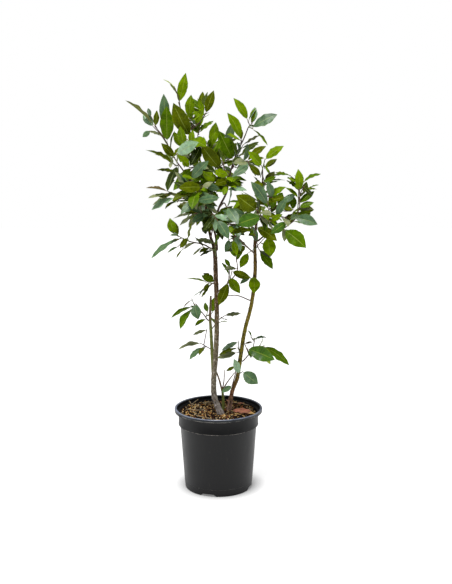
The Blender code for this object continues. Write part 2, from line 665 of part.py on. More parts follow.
class Crown:
    """The twigs and leaves of every mass, each grown where no limb or other piece stands."""

    def __init__(self, limbs):
        self.limbs = limbs
        self.pieces = []
        self.twigs = {name: [] for name in MASSES}
        self.leaves = {name: [] for name in MASSES}
        for name, line in limbs.items():
            self.hold(name, *tube(line, LIMB_SIDES))
        shoots = [(name, random.Random(mass.seed)) for name, mass in MASSES.items()]
        grown = [(name, chance, self.grow_shoots(name, chance)) for name, chance in shoots]
        for name, chance, twigs in grown:
            for key, path, shoot in twigs:
                self.dress(name, chance, key, path, shoot, shoot.leaves, shoot.length, True)

    def hold(self, owner, points, faces):
        """Notes a piece that later ones keep clear of."""
        self.pieces.append((owner, *box_of(points), BVHTree.FromPolygons(points, faces)))

    def is_free(self, points, faces, parent):
        """Whether these faces cross no piece but the one that they grow from."""
        low, high = box_of(points)
        tree = None
        for owner, other_low, other_high, other in self.pieces:
            apart = any(low[a] > other_high[a] or high[a] < other_low[a] for a in range(3))
            if owner == parent or apart:
                continue
            tree = tree or BVHTree.FromPolygons(points, faces)
            if tree.overlap(other):
                return False
        return True

    def add_twig(self, name, path, parent):
        """Keeps a twig if its space is free, and gives its key in the space, or None."""
        if not self.is_free(*tube(path, TWIG_SIDES, CLEAR), parent):
            return None
        key = (name, len(self.twigs[name]))
        self.hold(key, *tube(path, TWIG_SIDES))
        self.twigs[name].append(path)
        return key

    def add_leaf(self, name, leaf, twig):
        """Keeps a leaf if its space is free, and says whether it was."""
        points, faces = leaf_solid(leaf, LEAF_CLEARANCE)
        if box_of(points)[0][2] < LOWEST_LEAF or not self.is_free(points, faces, twig):
            return False
        self.hold((name, "leaf"), *leaf_solid(leaf))
        self.leaves[name].append(leaf)
        return True

    def grow_shoots(self, name, chance):
        """The shoots that a mass is planned with, each with its end leaf."""
        grown = []
        trunk = None
        for shoot in MASSES[name].shoots:
            arrival = direction(shoot.bearing, shoot.rise)
            forward, spread = END_FORWARD_LOOK * abs(arrival.z), LOOK_SPREAD
            if shoot.turned is not None:
                forward, spread = shoot.turned, 0
            for nudge, lead in product(NUDGES, SHOOT_LEADS):
                bud = Vector(shoot.tip) + Vector((0, nudge, 0)) - arrival * shoot.length
                path, parent = self.shoot_path(name, trunk, bud, arrival, lead)
                root = bud - arrival * ROOT_RADIUS
                leaf = new_leaf(chance, root, arrival, shoot.length, forward, spread)
                leaf = leaf._replace(width=leaf.width * shoot.wide)
                if self.is_free(*leaf_solid(leaf, LEAF_CLEARANCE), None):
                    key = self.add_twig(name, path, parent)
                    if key:
                        self.add_leaf(name, leaf, key)
                        trunk = trunk or path
                        grown.append((key, path, shoot))
                        break
        return grown

    def shoot_path(self, name, trunk, bud, arrival, lead):
        """The way of a shoot from its limb, or from the mass's first shoot, and what it leaves."""
        if trunk:
            start, along, thickness = along_line(trunk, nearest_share(trunk, bud, lead))
            radius = min(TWIG_TIP + TWIG_GROWTH * (bud - start).length, thickness)
            heading = ((bud - start).normalized() + along * SHOOT_LEAN).normalized()
            return bent_path(start, heading, bud, arrival, radius, TWIG_TIP), (name, 0)
        limb, where = MASSES[name][:2]
        line = self.limbs[limb]
        span = (bud - along_line(line, share_of(line, where))[0]).length
        radius = TWIG_TIP + TWIG_GROWTH * span
        if where == TIP:
            radius = min(radius, line[-1].w)
        start, heading = leave_limb(line, where, bud, radius)
        straight = start + heading * TWIG_START * radius
        path = bent_path(straight, heading, bud, arrival, radius, TWIG_TIP)
        return [Vector((*start, radius))] + path, limb

    def dress(self, name, chance, twig, path, shoot, count, length, branching):
        """Sets leaves, and here and there a side twig, in a spiral up a twig."""
        turn = chance.uniform(0, 2 * math.pi)
        for k in range(count):
            step = (k + chance.uniform(*LEAF_PLACE)) / count
            share = FIRST_LEAF + (LAST_LEAF - FIRST_LEAF) * step
            size = length * chance.uniform(*LEAF_SIZES)
            spread = math.radians(chance.uniform(*LEAF_SPREAD))
            branches = branching and chance.random() < SIDE_TWIG_CHANCE
            turn += GOLDEN_TURN + chance.uniform(-TURN_SPREAD, TURN_SPREAD)
            place, along, radius = along_line(path, share)
            across = along.orthogonal().normalized()
            lift = UP * (place.z - LEVEL_HEIGHT) * LIFT_PER_METRE
            for attempt in range(TRIES):
                angle = turn + attempt * TRY_TURN
                out = across * math.cos(angle) + along.cross(across) * math.sin(angle)
                way = (along * math.cos(spread) + out * math.sin(spread) + lift).normalized()
                if branches:
                    grown = self.branch(name, chance, twig, place, way, radius, shoot, size)
                else:
                    leaf = new_leaf(chance, place, way, size, *side_look(shoot))
                    grown = self.add_leaf(name, leaf, twig)
                if grown:
                    break

    def branch(self, name, chance, parent, place, way, radius, shoot, length):
        """Grows a short twig with an end leaf and two more, and says whether it had room."""
        end = place + way * length * SIDE_TWIG_LENGTH
        arrival = (way + UP * SIDE_TWIG_LIFT).normalized()
        path = bent_path(place, way, end, arrival, radius * SIDE_TWIG_RADIUS, TWIG_TIP)
        size = length * SIDE_LEAF_SIZE
        leaf = new_leaf(chance, end - arrival * ROOT_RADIUS, arrival, size, *side_look(shoot))
        if not self.is_free(*leaf_solid(leaf, LEAF_CLEARANCE), parent):
            return False
        twig = self.add_twig(name, path, parent)
        if twig is None:
            return False
        self.add_leaf(name, leaf, twig)
        self.dress(name, chance, twig, path, shoot, SIDE_TWIG_LEAVES, size, False)
        return True


def nearest_share(path, place, lead):
    """The share of a twig where a shoot to this place leaves it, a lead before the nearest point."""
    nearest = min(SHOOT_SHARES, key=lambda share: (along_line(path, share)[0] - place).length)
    return min(max(nearest - lead, SHOOT_SHARES[0]), SHOOT_SHARES[-1])


def grow_limbs():
    """The line of every stem and bough, as (x, y, z, radius) points."""
    limbs = {}
    for name, stations in STEMS.items():
        line = smooth_line(stations, STEM_STEP)
        line[0].xy = line[1].xy
        limbs[name] = line
    for name, (parent, height, radius, way) in BOUGHS.items():
        start, heading = leave_limb(limbs[parent], height, Vector(way[0][:3]), radius)
        first = Vector((*start, radius))
        second = Vector((*(start + heading * BOUGH_START * radius), radius))
        limbs[name] = [first] + smooth_line((second, *way), BOUGH_STEP)
    return limbs


def clear_scene():
    for obj in list(bpy.data.objects):
        bpy.data.objects.remove(obj, do_unlink=True)


def new_collection(name):
    collection = bpy.data.collections.new(name)
    bpy.context.scene.collection.children.link(collection)
    return collection


def new_material(name, colour, roughness):
    material = bpy.data.materials.new(name)
    material.use_nodes = True
    shader = material.node_tree.nodes["Principled BSDF"]
    shader.inputs["Base Color"].default_value = (*colour, 1)
    shader.inputs["Roughness"].default_value = roughness
    shader.inputs["Metallic"].default_value = 0
    return material


def add_mesh(name, points, faces, collection, material=None):
    """A mesh object whose faces all point outwards."""
    mesh = bpy.data.meshes.new(name)
    mesh.from_pydata([tuple(point[:3]) for point in points], [], faces)
    shape = bmesh.new()
    shape.from_mesh(mesh)
    bmesh.ops.recalc_face_normals(shape, faces=shape.faces)
    shape.to_mesh(mesh)
    shape.free()
    obj = bpy.data.objects.new(name, mesh)
    collection.objects.link(obj)
    if material:
        mesh.materials.append(material)
    return obj


def add_turned(name, profile, collection, material):
    """A solid of revolution from a profile that starts and ends on the axis."""
    mesh = bpy.data.meshes.new(name)
    edges = [(i, i + 1) for i in range(len(profile) - 1)]
    mesh.from_pydata([(radius, 0, height) for radius, height in profile], edges, [])
    obj = bpy.data.objects.new(name, mesh)
    collection.objects.link(obj)
    screw = obj.modifiers.new("Turn", "SCREW")
    screw.steps = screw.render_steps = POT_SIDES
    screw.use_merge_vertices = True
    screw.merge_threshold = 0.00001
    screw.use_smooth_shade = True
    mesh.materials.append(material)
    return obj


def add_limb(name, line, collection, material):
    """A tapering limb as a curve with its radius at each point."""
    curve = bpy.data.curves.new(name, "CURVE")
    curve.dimensions = "3D"
    curve.bevel_depth = line[0].w
    curve.bevel_resolution = LIMB_BEVEL
    curve.use_fill_caps = True
    spline = curve.splines.new("POLY")
    spline.points.add(len(line) - 1)
    for point, place in zip(spline.points, line):
        point.co = (*place.xyz, 1)
        point.radius = place.w / line[0].w
    obj = bpy.data.objects.new(name, curve)
    collection.objects.link(obj)
    curve.materials.append(material)
    return obj


def keep_largest_shell(mesh):
    """Drops loose scraps and sealed hollows, so that one closed body is left."""
    shape = bmesh.new()
    shape.from_mesh(mesh)
    shape.faces.ensure_lookup_table()
    unseen = set(shape.faces)
    shells = []
    while unseen:
        shell, edge = set(), [unseen.pop()]
        while edge:
            face = edge.pop()
            shell.add(face)
            for side in face.edges:
                for other in side.link_faces:
                    if other in unseen:
                        unseen.discard(other)
                        edge.append(other)
        shells.append(shell)
    shells.sort(key=len)
    for shell in shells[:-1]:
        bmesh.ops.delete(shape, geom=list(shell), context="FACES")
    shape.to_mesh(mesh)
    shape.free()


def add_fused(name, shapes, collection, material):
    """One closed body from overlapping shapes, joined by a Boolean union."""
    helpers = new_collection(name + "_pieces")
    pieces = [add_mesh(f"{name}_piece", points, faces, helpers) for points, faces in shapes]
    first = pieces[0]
    helpers.objects.unlink(first)
    collection.objects.link(first)
    union = first.modifiers.new("Join", "BOOLEAN")
    union.operation = "UNION"
    union.operand_type = "COLLECTION"
    union.collection = helpers
    union.solver = "EXACT"
    graph = bpy.context.evaluated_depsgraph_get()
    mesh = bpy.data.meshes.new_from_object(first.evaluated_get(graph))
    for piece in pieces:
        bpy.data.objects.remove(piece, do_unlink=True)
    bpy.data.collections.remove(helpers)
    mesh.name = name
    keep_largest_shell(mesh)
    mesh.materials.clear()
    mesh.materials.append(material)
    obj = bpy.data.objects.new(name, mesh)
    collection.objects.link(obj)
    return obj


def pot_profile():
    """Half the pot's section, from the middle of its floor over the rim to its underside."""
    lip_foot = POT_HEIGHT - LIP_HEIGHT
    mouth = RIM_RADIUS - RIM_WIDTH
    return (
        (0, FLOOR),
        (LEDGE_RADIUS, FLOOR),
        (LEDGE_RADIUS, LEDGE_HEIGHT),
        (BASE_RADIUS - WALL, LEDGE_HEIGHT),
        (BODY_TOP_RADIUS - WALL, COLLAR_FOOT),
        (COLLAR_RADIUS - WALL, COLLAR_FOOT + 2 * WALL),
        (COLLAR_RADIUS - WALL, lip_foot),
        (mouth, POT_HEIGHT - EDGE_ROUND),
        (mouth + SMALL_ROUND, POT_HEIGHT),
        (RIM_RADIUS - SMALL_ROUND, POT_HEIGHT),
        (RIM_RADIUS, POT_HEIGHT - EDGE_ROUND),
        (RIM_RADIUS, lip_foot + SMALL_ROUND),
        (RIM_RADIUS - SMALL_ROUND, lip_foot),
        (COLLAR_RADIUS, lip_foot),
        (COLLAR_RADIUS - SMALL_ROUND, COLLAR_FOOT + SMALL_ROUND),
        (BODY_TOP_RADIUS + SMALL_ROUND, COLLAR_FOOT - SMALL_ROUND),
        (FOOT_BAND_RADIUS, FOOT_BAND),
        (FOOT_BAND_RADIUS - SMALL_ROUND, FOOT_BAND - SMALL_ROUND),
        (BASE_RADIUS, 0),
        (0, 0),
    )


def add_notch_cutter(number, cutters):
    """A slant-sided notch in the pot's foot."""
    bearing = math.radians(NOTCH_BEARING) + 2 * math.pi * number / NOTCHES
    slant = (NOTCH_FOOT_SPAN - NOTCH_TOP_SPAN) * CUT_MARGIN / NOTCH_HEIGHT
    points = []
    for height, span in ((-CUT_MARGIN, NOTCH_FOOT_SPAN + slant), (NOTCH_HEIGHT, NOTCH_TOP_SPAN)):
        for radius in (NOTCH_BACK, FOOT_BAND_RADIUS + CUT_MARGIN):
            for side in (-0.5, 0.5):
                turn = bearing + side * span
                points.append((radius * math.cos(turn), radius * math.sin(turn), height))
    faces = [(0, 1, 3, 2), (4, 6, 7, 5), (0, 4, 5, 1), (1, 5, 7, 3), (3, 7, 6, 2), (2, 6, 4, 0)]
    return add_mesh(f"notch_cutter_{number}", points, faces, cutters)


def add_drain_cutter(number, cutters):
    """A drain hole from the back of a notch through the step in the pot's floor."""
    hole = bmesh.new()
    bmesh.ops.create_cube(hole, size=1)
    for vertex in hole.verts:
        vertex.co.x *= NOTCH_BACK - LEDGE_RADIUS + 2 * CUT_MARGIN
        vertex.co.x += (NOTCH_BACK + LEDGE_RADIUS) / 2
        vertex.co.y *= DRAIN_WIDTH
        vertex.co.z = vertex.co.z * DRAIN_HEIGHT + DRAIN_MIDDLE
    mesh = bpy.data.meshes.new(f"drain_cutter_{number}")
    hole.to_mesh(mesh)
    hole.free()
    drain = bpy.data.objects.new(mesh.name, mesh)
    bearing = math.radians(NOTCH_BEARING) + 2 * math.pi * number / NOTCHES
    drain.rotation_euler.z = bearing - DRAIN_OFFSET
    cutters.objects.link(drain)
    return drain


def build_pot(collection, cutters, material):
    pot = add_turned("pot", pot_profile(), collection, material)
    for number in range(NOTCHES):
        for cutter in (add_notch_cutter(number, cutters), add_drain_cutter(number, cutters)):
            cutter.hide_render = True
            cutter.display_type = "WIRE"
            cut = pot.modifiers.new(cutter.name, "BOOLEAN")
            cut.operation = "DIFFERENCE"
            cut.object = cutter
            cut.solver = "EXACT"


def build_soil(collection, material):
    """The potting soil, which fills the pot up to a low dome."""
    wall = COLLAR_RADIUS - WALL - CLEAR
    profile = (
        (0, SOIL_TOP),
        (SOIL_PLATEAU, SOIL_TOP),
        (wall, SOIL_EDGE),
        (wall, COLLAR_FOOT + 2 * WALL + CLEAR),
        (BODY_TOP_RADIUS - WALL - CLEAR, COLLAR_FOOT + CLEAR),
        (BASE_RADIUS - WALL - CLEAR, LEDGE_HEIGHT + CLEAR),
        (LEDGE_RADIUS - CLEAR, LEDGE_HEIGHT + CLEAR),
        (LEDGE_RADIUS - CLEAR, FLOOR + CLEAR),
        (0, FLOOR + CLEAR),
    )
    add_turned("soil", profile, collection, material)


def build_cut_shoot(collection, material):
    """The green stub of a cut shoot between the stems, with the dry forked twig on its top."""
    shapes = []
    for stations in CUT_SHOOT:
        line = smooth_line(stations, CUT_SHOOT_STEP)
        if stations is CUT_SHOOT[0]:
            line[0].xy = line[1].xy
        shapes.append(tube(line, CUT_SHOOT_SIDES))
    add_fused("cut_shoot", shapes, collection, material)


def build():
    clear_scene()
    collection = new_collection("potted_bay_laurel")
    cutters = new_collection("cutters")
    plastic = new_material("black_plastic", (0.030, 0.031, 0.033), 0.5)
    soil = new_material("bark_soil", (0.10, 0.055, 0.025), 0.95)
    bark = new_material("grey_brown_bark", (0.17, 0.13, 0.095), 0.8)
    green = new_material("green_bark", (0.12, 0.14, 0.05), 0.7)
    leaf = new_material("laurel_leaf", (0.060, 0.115, 0.020), 0.4)
    build_pot(collection, cutters, plastic)
    build_soil(collection, soil)
    build_cut_shoot(collection, green)
    limbs = grow_limbs()
    for name, line in limbs.items():
        add_limb(name, line, collection, green if name == "stem_green" else bark)
    crown = Crown(limbs)
    for name in MASSES:
        shapes = [tube(path, TWIG_SIDES) for path in crown.twigs[name]]
        shapes += [leaf_solid(blade) for blade in crown.leaves[name]]
        add_fused(name, shapes, collection, leaf)


build()
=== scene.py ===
"""Potted bay laurel, dressed: bark, twigs, leaves, bark chips and a moulded nursery pot.

Metres, +Z up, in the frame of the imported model. The tables and the growth rule are the source's
own, written again here, so each leaf grows where its plain solid does, and finer growth follows.
A bearing is an angle round +Z from +X, so 180 points left and 270 to the front.
"""

import math
import random
from collections import namedtuple
from itertools import accumulate, product

import bmesh
import bpy
import numpy as np
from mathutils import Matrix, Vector, noise
from mathutils.bvhtree import BVHTree


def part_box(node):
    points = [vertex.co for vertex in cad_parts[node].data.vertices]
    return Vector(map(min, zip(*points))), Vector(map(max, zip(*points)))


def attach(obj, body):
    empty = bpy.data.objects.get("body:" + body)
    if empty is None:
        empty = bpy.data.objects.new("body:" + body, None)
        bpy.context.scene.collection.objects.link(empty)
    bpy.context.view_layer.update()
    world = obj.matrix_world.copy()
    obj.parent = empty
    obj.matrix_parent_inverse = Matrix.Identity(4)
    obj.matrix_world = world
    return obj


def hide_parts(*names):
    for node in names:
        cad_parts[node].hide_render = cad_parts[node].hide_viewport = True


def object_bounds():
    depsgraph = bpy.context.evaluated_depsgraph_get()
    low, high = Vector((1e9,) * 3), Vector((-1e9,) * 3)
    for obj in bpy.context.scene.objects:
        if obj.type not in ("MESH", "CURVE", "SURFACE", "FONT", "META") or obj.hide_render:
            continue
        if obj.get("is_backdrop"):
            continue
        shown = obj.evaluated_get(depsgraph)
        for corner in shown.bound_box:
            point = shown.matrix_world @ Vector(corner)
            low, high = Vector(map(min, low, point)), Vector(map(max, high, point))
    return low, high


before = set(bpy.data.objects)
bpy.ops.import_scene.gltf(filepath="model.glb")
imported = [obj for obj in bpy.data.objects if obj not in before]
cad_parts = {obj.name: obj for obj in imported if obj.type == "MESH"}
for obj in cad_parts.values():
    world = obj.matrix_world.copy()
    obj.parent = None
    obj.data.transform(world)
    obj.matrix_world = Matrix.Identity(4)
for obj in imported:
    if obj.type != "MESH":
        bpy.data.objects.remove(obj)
cad_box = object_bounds()

UP = Vector((0, 0, 1))
CLEAR = 0.0003
HALVES = (-0.5, 0.5)

# Camera and studio
CAMERA_PLACE = (0.0206, -2.4, 0.95)
CAMERA_PITCH = math.radians(9.7)
CAMERA_LENS = 56.28
SENSOR_HEIGHT = 36
FLOOR_SIZE = 14
FLOOR_GLOSS = (0.8, 0.0)
FLOOR_COLOUR = (0.35, 0.35, 0.35)
FLOOR_GRAIN = 3
FLOOR_LIGHTER = 1.01
FLOOR_GLOW = 0.85
# Close to the pot the floor's glow dims to a painted contact shadow
FLOOR_GLOW_SHADED = 0.2
FLOOR_SHADE_REACH = 0.05
FLOOR_SHADE_RANGE = (0.5, 1.0)
SKY_STRENGTH = 0.25
OPAQUE_WHITE = (1, 1, 1, 1)
SUN_STRENGTH = 3.4
SUN_ANGLE = math.radians(24)
SUN_PLACE = (-0.3, -0.8, 3.0)
SOFTBOX_TARGET = (0.0, 0.0, 0.5)
SOFTBOX_SIZE = 1.2
SOFTBOXES = (("softbox_left", (-2.2, -0.2, 0.9), 12), ("softbox_right", (2.2, 0.0, 0.9), 8))

# Pot
POT_HEIGHT = 0.222
RIM_RADIUS = 0.1195
RIM_WIDTH = 0.0065
LIP_HEIGHT = 0.0095
COLLAR_RADIUS = 0.1085
COLLAR_FOOT = 0.1765
BODY_TOP_RADIUS = 0.104
FOOT_BAND = 0.018
FOOT_BAND_RADIUS = 0.0932
BASE_RADIUS = 0.0912
WALL = 0.0022
FLOOR = 0.004
LEDGE_HEIGHT = 0.0105
LEDGE_RADIUS = 0.074
NOTCHES = 4
NOTCH_BEARING = -107
NOTCH_HEIGHT = 0.0076
NOTCH_BACK = 0.079
NOTCH_FOOT_SPAN = math.radians(29)
NOTCH_TOP_SPAN = math.radians(17)
CUT_MARGIN = 0.005
DRAIN_WIDTH = 0.008
DRAIN_HEIGHT = 0.0026
DRAIN_MIDDLE = 0.0057
DRAIN_OFFSET = math.radians(3.4)

# The pot's moulded detail: rolled lip, groove and band below it, collar edge, ring line and foot.
# Turns are the first and last angle of an arc, in degrees.
POT_FINE_SIDES = 128
SMALL_STEP = 0.0004
BEAD_RADIUS = 0.0029
BEAD_STEPS = 7
LIP_INNER_TURN = (180, 95)
LIP_OUTER_TURN = (85, -40)
FOOT_TURN = (0, -90)
FOOT_STEPS = 4
GROOVE_DEPTH = 0.0011
GROOVE_HEIGHT = 0.2161
BAND_TOP = 0.2154
BAND_FOOT = 0.2131
COLLAR_EDGE = 0.0005
RING_HEIGHT = 0.0195
RING_DEPTH = 0.0005
EDGE_BAND = 0.0009
# How far down from the rim the lip's painted highlight reaches
LIP_HIGHLIGHT_DEPTH = 0.0011
FOOT_ROUND = 0.0016
SHARP_ANGLE = math.radians(40)
BLOCK_FACES = ((0, 1, 3, 2), (4, 6, 7, 5), (0, 4, 5, 1), (1, 5, 7, 3), (3, 7, 6, 2), (2, 6, 4, 0))

# Soil
SOIL_EDGE = 0.2105
SOIL_TOP = 0.2135
SOIL_PLATEAU = 0.06
SOIL_RINGS = 34
SOIL_SIDES = 120
SOIL_BUMP = 0.0016
SOIL_BUMP_SCALE = 110

# Bark chips, short ones and long splinters: how many, and their lengths, widths as shares of the
# length, tilt and lift over the bed. The weights deal out the chips' tones.
CHIP_SEED = 21
Chips = namedtuple("Chips", "count lengths widths tilt lift")
CHIP_KINDS = (
    Chips(3000, (0.0018, 0.0068), (0.4, 0.8), 0.5, 0),
    Chips(90, (0.012, 0.026), (0.12, 0.22), 0.15, 0.001),
)
CHIP_THICKNESS = (0.3, 0.6)
CHIP_MARGIN = 0.001
CHIP_LIFT = 0.0022
CHIP_ROLL = 0.4
CHIP_SIDES = 6
CHIP_LEVELS = ((-0.5, 0.8), (0.1, 1.0), (0.5, 0.72))
CHIP_UNEVEN = (0.75, 1.15)
CHIP_WEIGHTS = (8, 4, 5, 22, 4, 3)

# Litter on the soil: dry twigs as (x, y, lift over the bed) places, and fallen leaves, each with
# its root, tip, the way it faces, width and arch
LITTER_SEED = 31
LITTER_TWIGS = (
    (
        (-0.082, 0.060, 0.012), (-0.074, 0.054, 0.004),
        (-0.045, 0.048, 0.003), (-0.014, 0.044, 0.002),
    ),
    ((-0.074, 0.054, 0.004), (-0.066, 0.075, 0.006), (-0.058, 0.085, 0.009)),
    ((-0.045, 0.048, 0.003), (-0.030, 0.062, 0.005), (-0.012, 0.072, 0.003)),
    ((-0.088, 0.010, 0.002), (-0.060, -0.004, 0.003), (-0.030, -0.002, 0.001)),
    ((0.030, 0.070, 0.003), (0.056, 0.062, 0.004), (0.084, 0.045, 0.003)),
    ((-0.060, -0.050, 0.002), (-0.030, -0.072, 0.003), (-0.012, -0.076, 0.001)),
    ((0.050, 0.020, 0.002), (0.070, 0.006, 0.003), (0.094, 0.008, 0.002)),
)
LITTER_RADIUS = 0.0011
LITTER_TAPER = 0.25
FALLEN = (
    ((0.034, -0.012, 0.0045), (0.098, -0.040, 0.006), (-0.05, -0.10, 0.99), 0.031, 0.003),
    ((0.022, 0.090, 0.006), (0.030, 0.066, 0.004), (0.3, -0.3, 0.9), 0.010, 0.001),
    ((0.050, 0.052, 0.003), (0.074, 0.060, 0.004), (0.0, -0.1, 0.99), 0.009, 0.001),
)
FALLEN_DRY_FROM = 0.78

# Limbs: (x, y, z, radius) of the few places that a limb passes through
FOOT = SOIL_TOP + CLEAR
STEMS = {
    "stem_left": (
        (0.006, -0.035, FOOT, 0.0105), (-0.003, -0.034, 0.236, 0.0080),
        (-0.011, -0.033, 0.263, 0.0074), (-0.012, -0.031, 0.310, 0.0070),
        (-0.007, -0.029, 0.370, 0.0067), (-0.004, -0.026, 0.441, 0.0064),
        (-0.004, -0.022, 0.511, 0.0061), (-0.006, -0.018, 0.577, 0.0060),
        (-0.010, -0.013, 0.657, 0.0054), (-0.020, -0.009, 0.688, 0.0038),
        (-0.031, -0.003, 0.755, 0.0034), (-0.034, 0.005, 0.826, 0.0029),
        (-0.055, 0.015, 0.914, 0.0024), (-0.073, 0.020, 0.978, 0.0019),
        (-0.097, 0.020, 1.020, 0.0015),
    ),
    "stem_right": (
        (0.029, -0.003, FOOT, 0.0075), (0.034, -0.002, 0.248, 0.0058),
        (0.039, -0.001, 0.271, 0.0055), (0.051, -0.001, 0.304, 0.0054),
        (0.060, -0.005, 0.366, 0.0055), (0.071, -0.010, 0.438, 0.0051),
        (0.088, -0.020, 0.510, 0.0050), (0.097, -0.030, 0.598, 0.0049),
        (0.096, -0.035, 0.680, 0.0040), (0.102, -0.040, 0.751, 0.0028),
        (0.114, -0.045, 0.834, 0.0018), (0.114, -0.048, 0.864, 0.0014),
    ),
    "stem_green": (
        (-0.002, 0.002, FOOT, 0.0042), (-0.012, 0.001, 0.284, 0.0036),
        (-0.016, 0.000, 0.353, 0.0036), (-0.020, 0.000, 0.436, 0.0033),
        (-0.022, 0.000, 0.469, 0.0027), (-0.020, 0.000, 0.529, 0.0017),
    ),
}

# Boughs: the limb that each leaves, the height where it does, its radius there, and its way
TIP = "tip"
NEAR_TIP = "near tip"
NEAR_TIP_SHARE = 0.93
BOUGHS = {
    "leader_middle": ("stem_left", 0.652, 0.0031, (
        (-0.007, 0.000, 0.690, 0.0030), (-0.012, 0.002, 0.717, 0.0029),
        (0.002, 0.008, 0.763, 0.0027), (0.022, 0.015, 0.804, 0.0025),
        (0.031, 0.025, 0.851, 0.0022), (0.047, 0.040, 0.900, 0.0019),
        (0.069, 0.050, 0.946, 0.0016), (0.079, 0.055, 0.971, 0.0013),
    )),
    "bough_low_left": ("stem_left", 0.660, 0.0020, (
        (-0.037, -0.020, 0.669, 0.0018), (-0.073, -0.035, 0.679, 0.0014),
    )),
    "bough_mid_left": ("stem_left", 0.775, 0.0018, (
        (-0.058, -0.010, 0.779, 0.0016), (-0.096, -0.030, 0.792, 0.0012),
    )),
    "bough_upper_left": ("stem_left", 0.795, 0.0022, (
        (-0.069, 0.010, 0.831, 0.0020), (-0.108, 0.022, 0.882, 0.0016),
    )),
    "bough_right": ("stem_right", 0.680, 0.0023, (
        (0.118, -0.035, 0.692, 0.0021), (0.140, -0.033, 0.701, 0.0019),
        (0.172, -0.030, 0.714, 0.0015),
    )),
    "bough_front_left": ("stem_left", 0.735, 0.0020, (
        (-0.040, -0.050, 0.750, 0.0018), (-0.045, -0.105, 0.785, 0.0013),
    )),
    "bough_front_middle": ("leader_middle", 0.765, 0.0019, (
        (0.015, -0.045, 0.780, 0.0017), (0.022, -0.115, 0.775, 0.0012),
    )),
    "bough_back_left": ("stem_left", 0.705, 0.0022, (
        (-0.040, 0.050, 0.730, 0.0019), (-0.060, 0.110, 0.765, 0.0014),
    )),
    "bough_back_middle": ("leader_middle", 0.800, 0.0020, (
        (0.020, 0.070, 0.830, 0.0017), (0.015, 0.120, 0.870, 0.0013),
    )),
    "bough_back_right": ("stem_right", 0.720, 0.0020, (
        (0.105, 0.030, 0.735, 0.0017), (0.110, 0.090, 0.760, 0.0013),
    )),
    "bough_back_top": ("stem_left", 0.890, 0.0018, (
        (-0.050, 0.055, 0.915, 0.0015), (-0.055, 0.085, 0.950, 0.0012),
    )),
}

# Masses of foliage: the limb, the height or end where the mass grows from it, the seed, the
# palette of the leaves up its twigs, how thickly the finer ones stand, and its shoots. A shoot is
# the tip of its end leaf and that leaf's bearing, rise and length, how many leaves stand below it,
# the end leaf's tone and, where its rise doesn't say, how far it turns its face to the front. A
# last number widens the leaf. The first shoot starts at the limb and carries the others. Tips and
# lengths are in millimetres.
EDGE_ON = -0.05
EDGE_SPREAD = 0.14
ASLANT = 0.35
BROAD = 2.5
MILLIMETRES = 1000
Mass = namedtuple("Mass", "limb where seed palette density shoots")
Shoot = namedtuple("Shoot", "tip bearing rise length leaves tone turned wide", defaults=(None, 1))


def mass(limb, where, seed, palette, density, rows):
    """A mass of foliage, with its shoots in metres."""
    shoots = []
    for x, y, z, bearing, rise, length, *rest in rows:
        tip = Vector((x / MILLIMETRES, y / MILLIMETRES, z / MILLIMETRES))
        shoots.append(Shoot(tip, bearing, rise, length / MILLIMETRES, *rest))
    return Mass(limb, where, seed, palette, density, shoots)


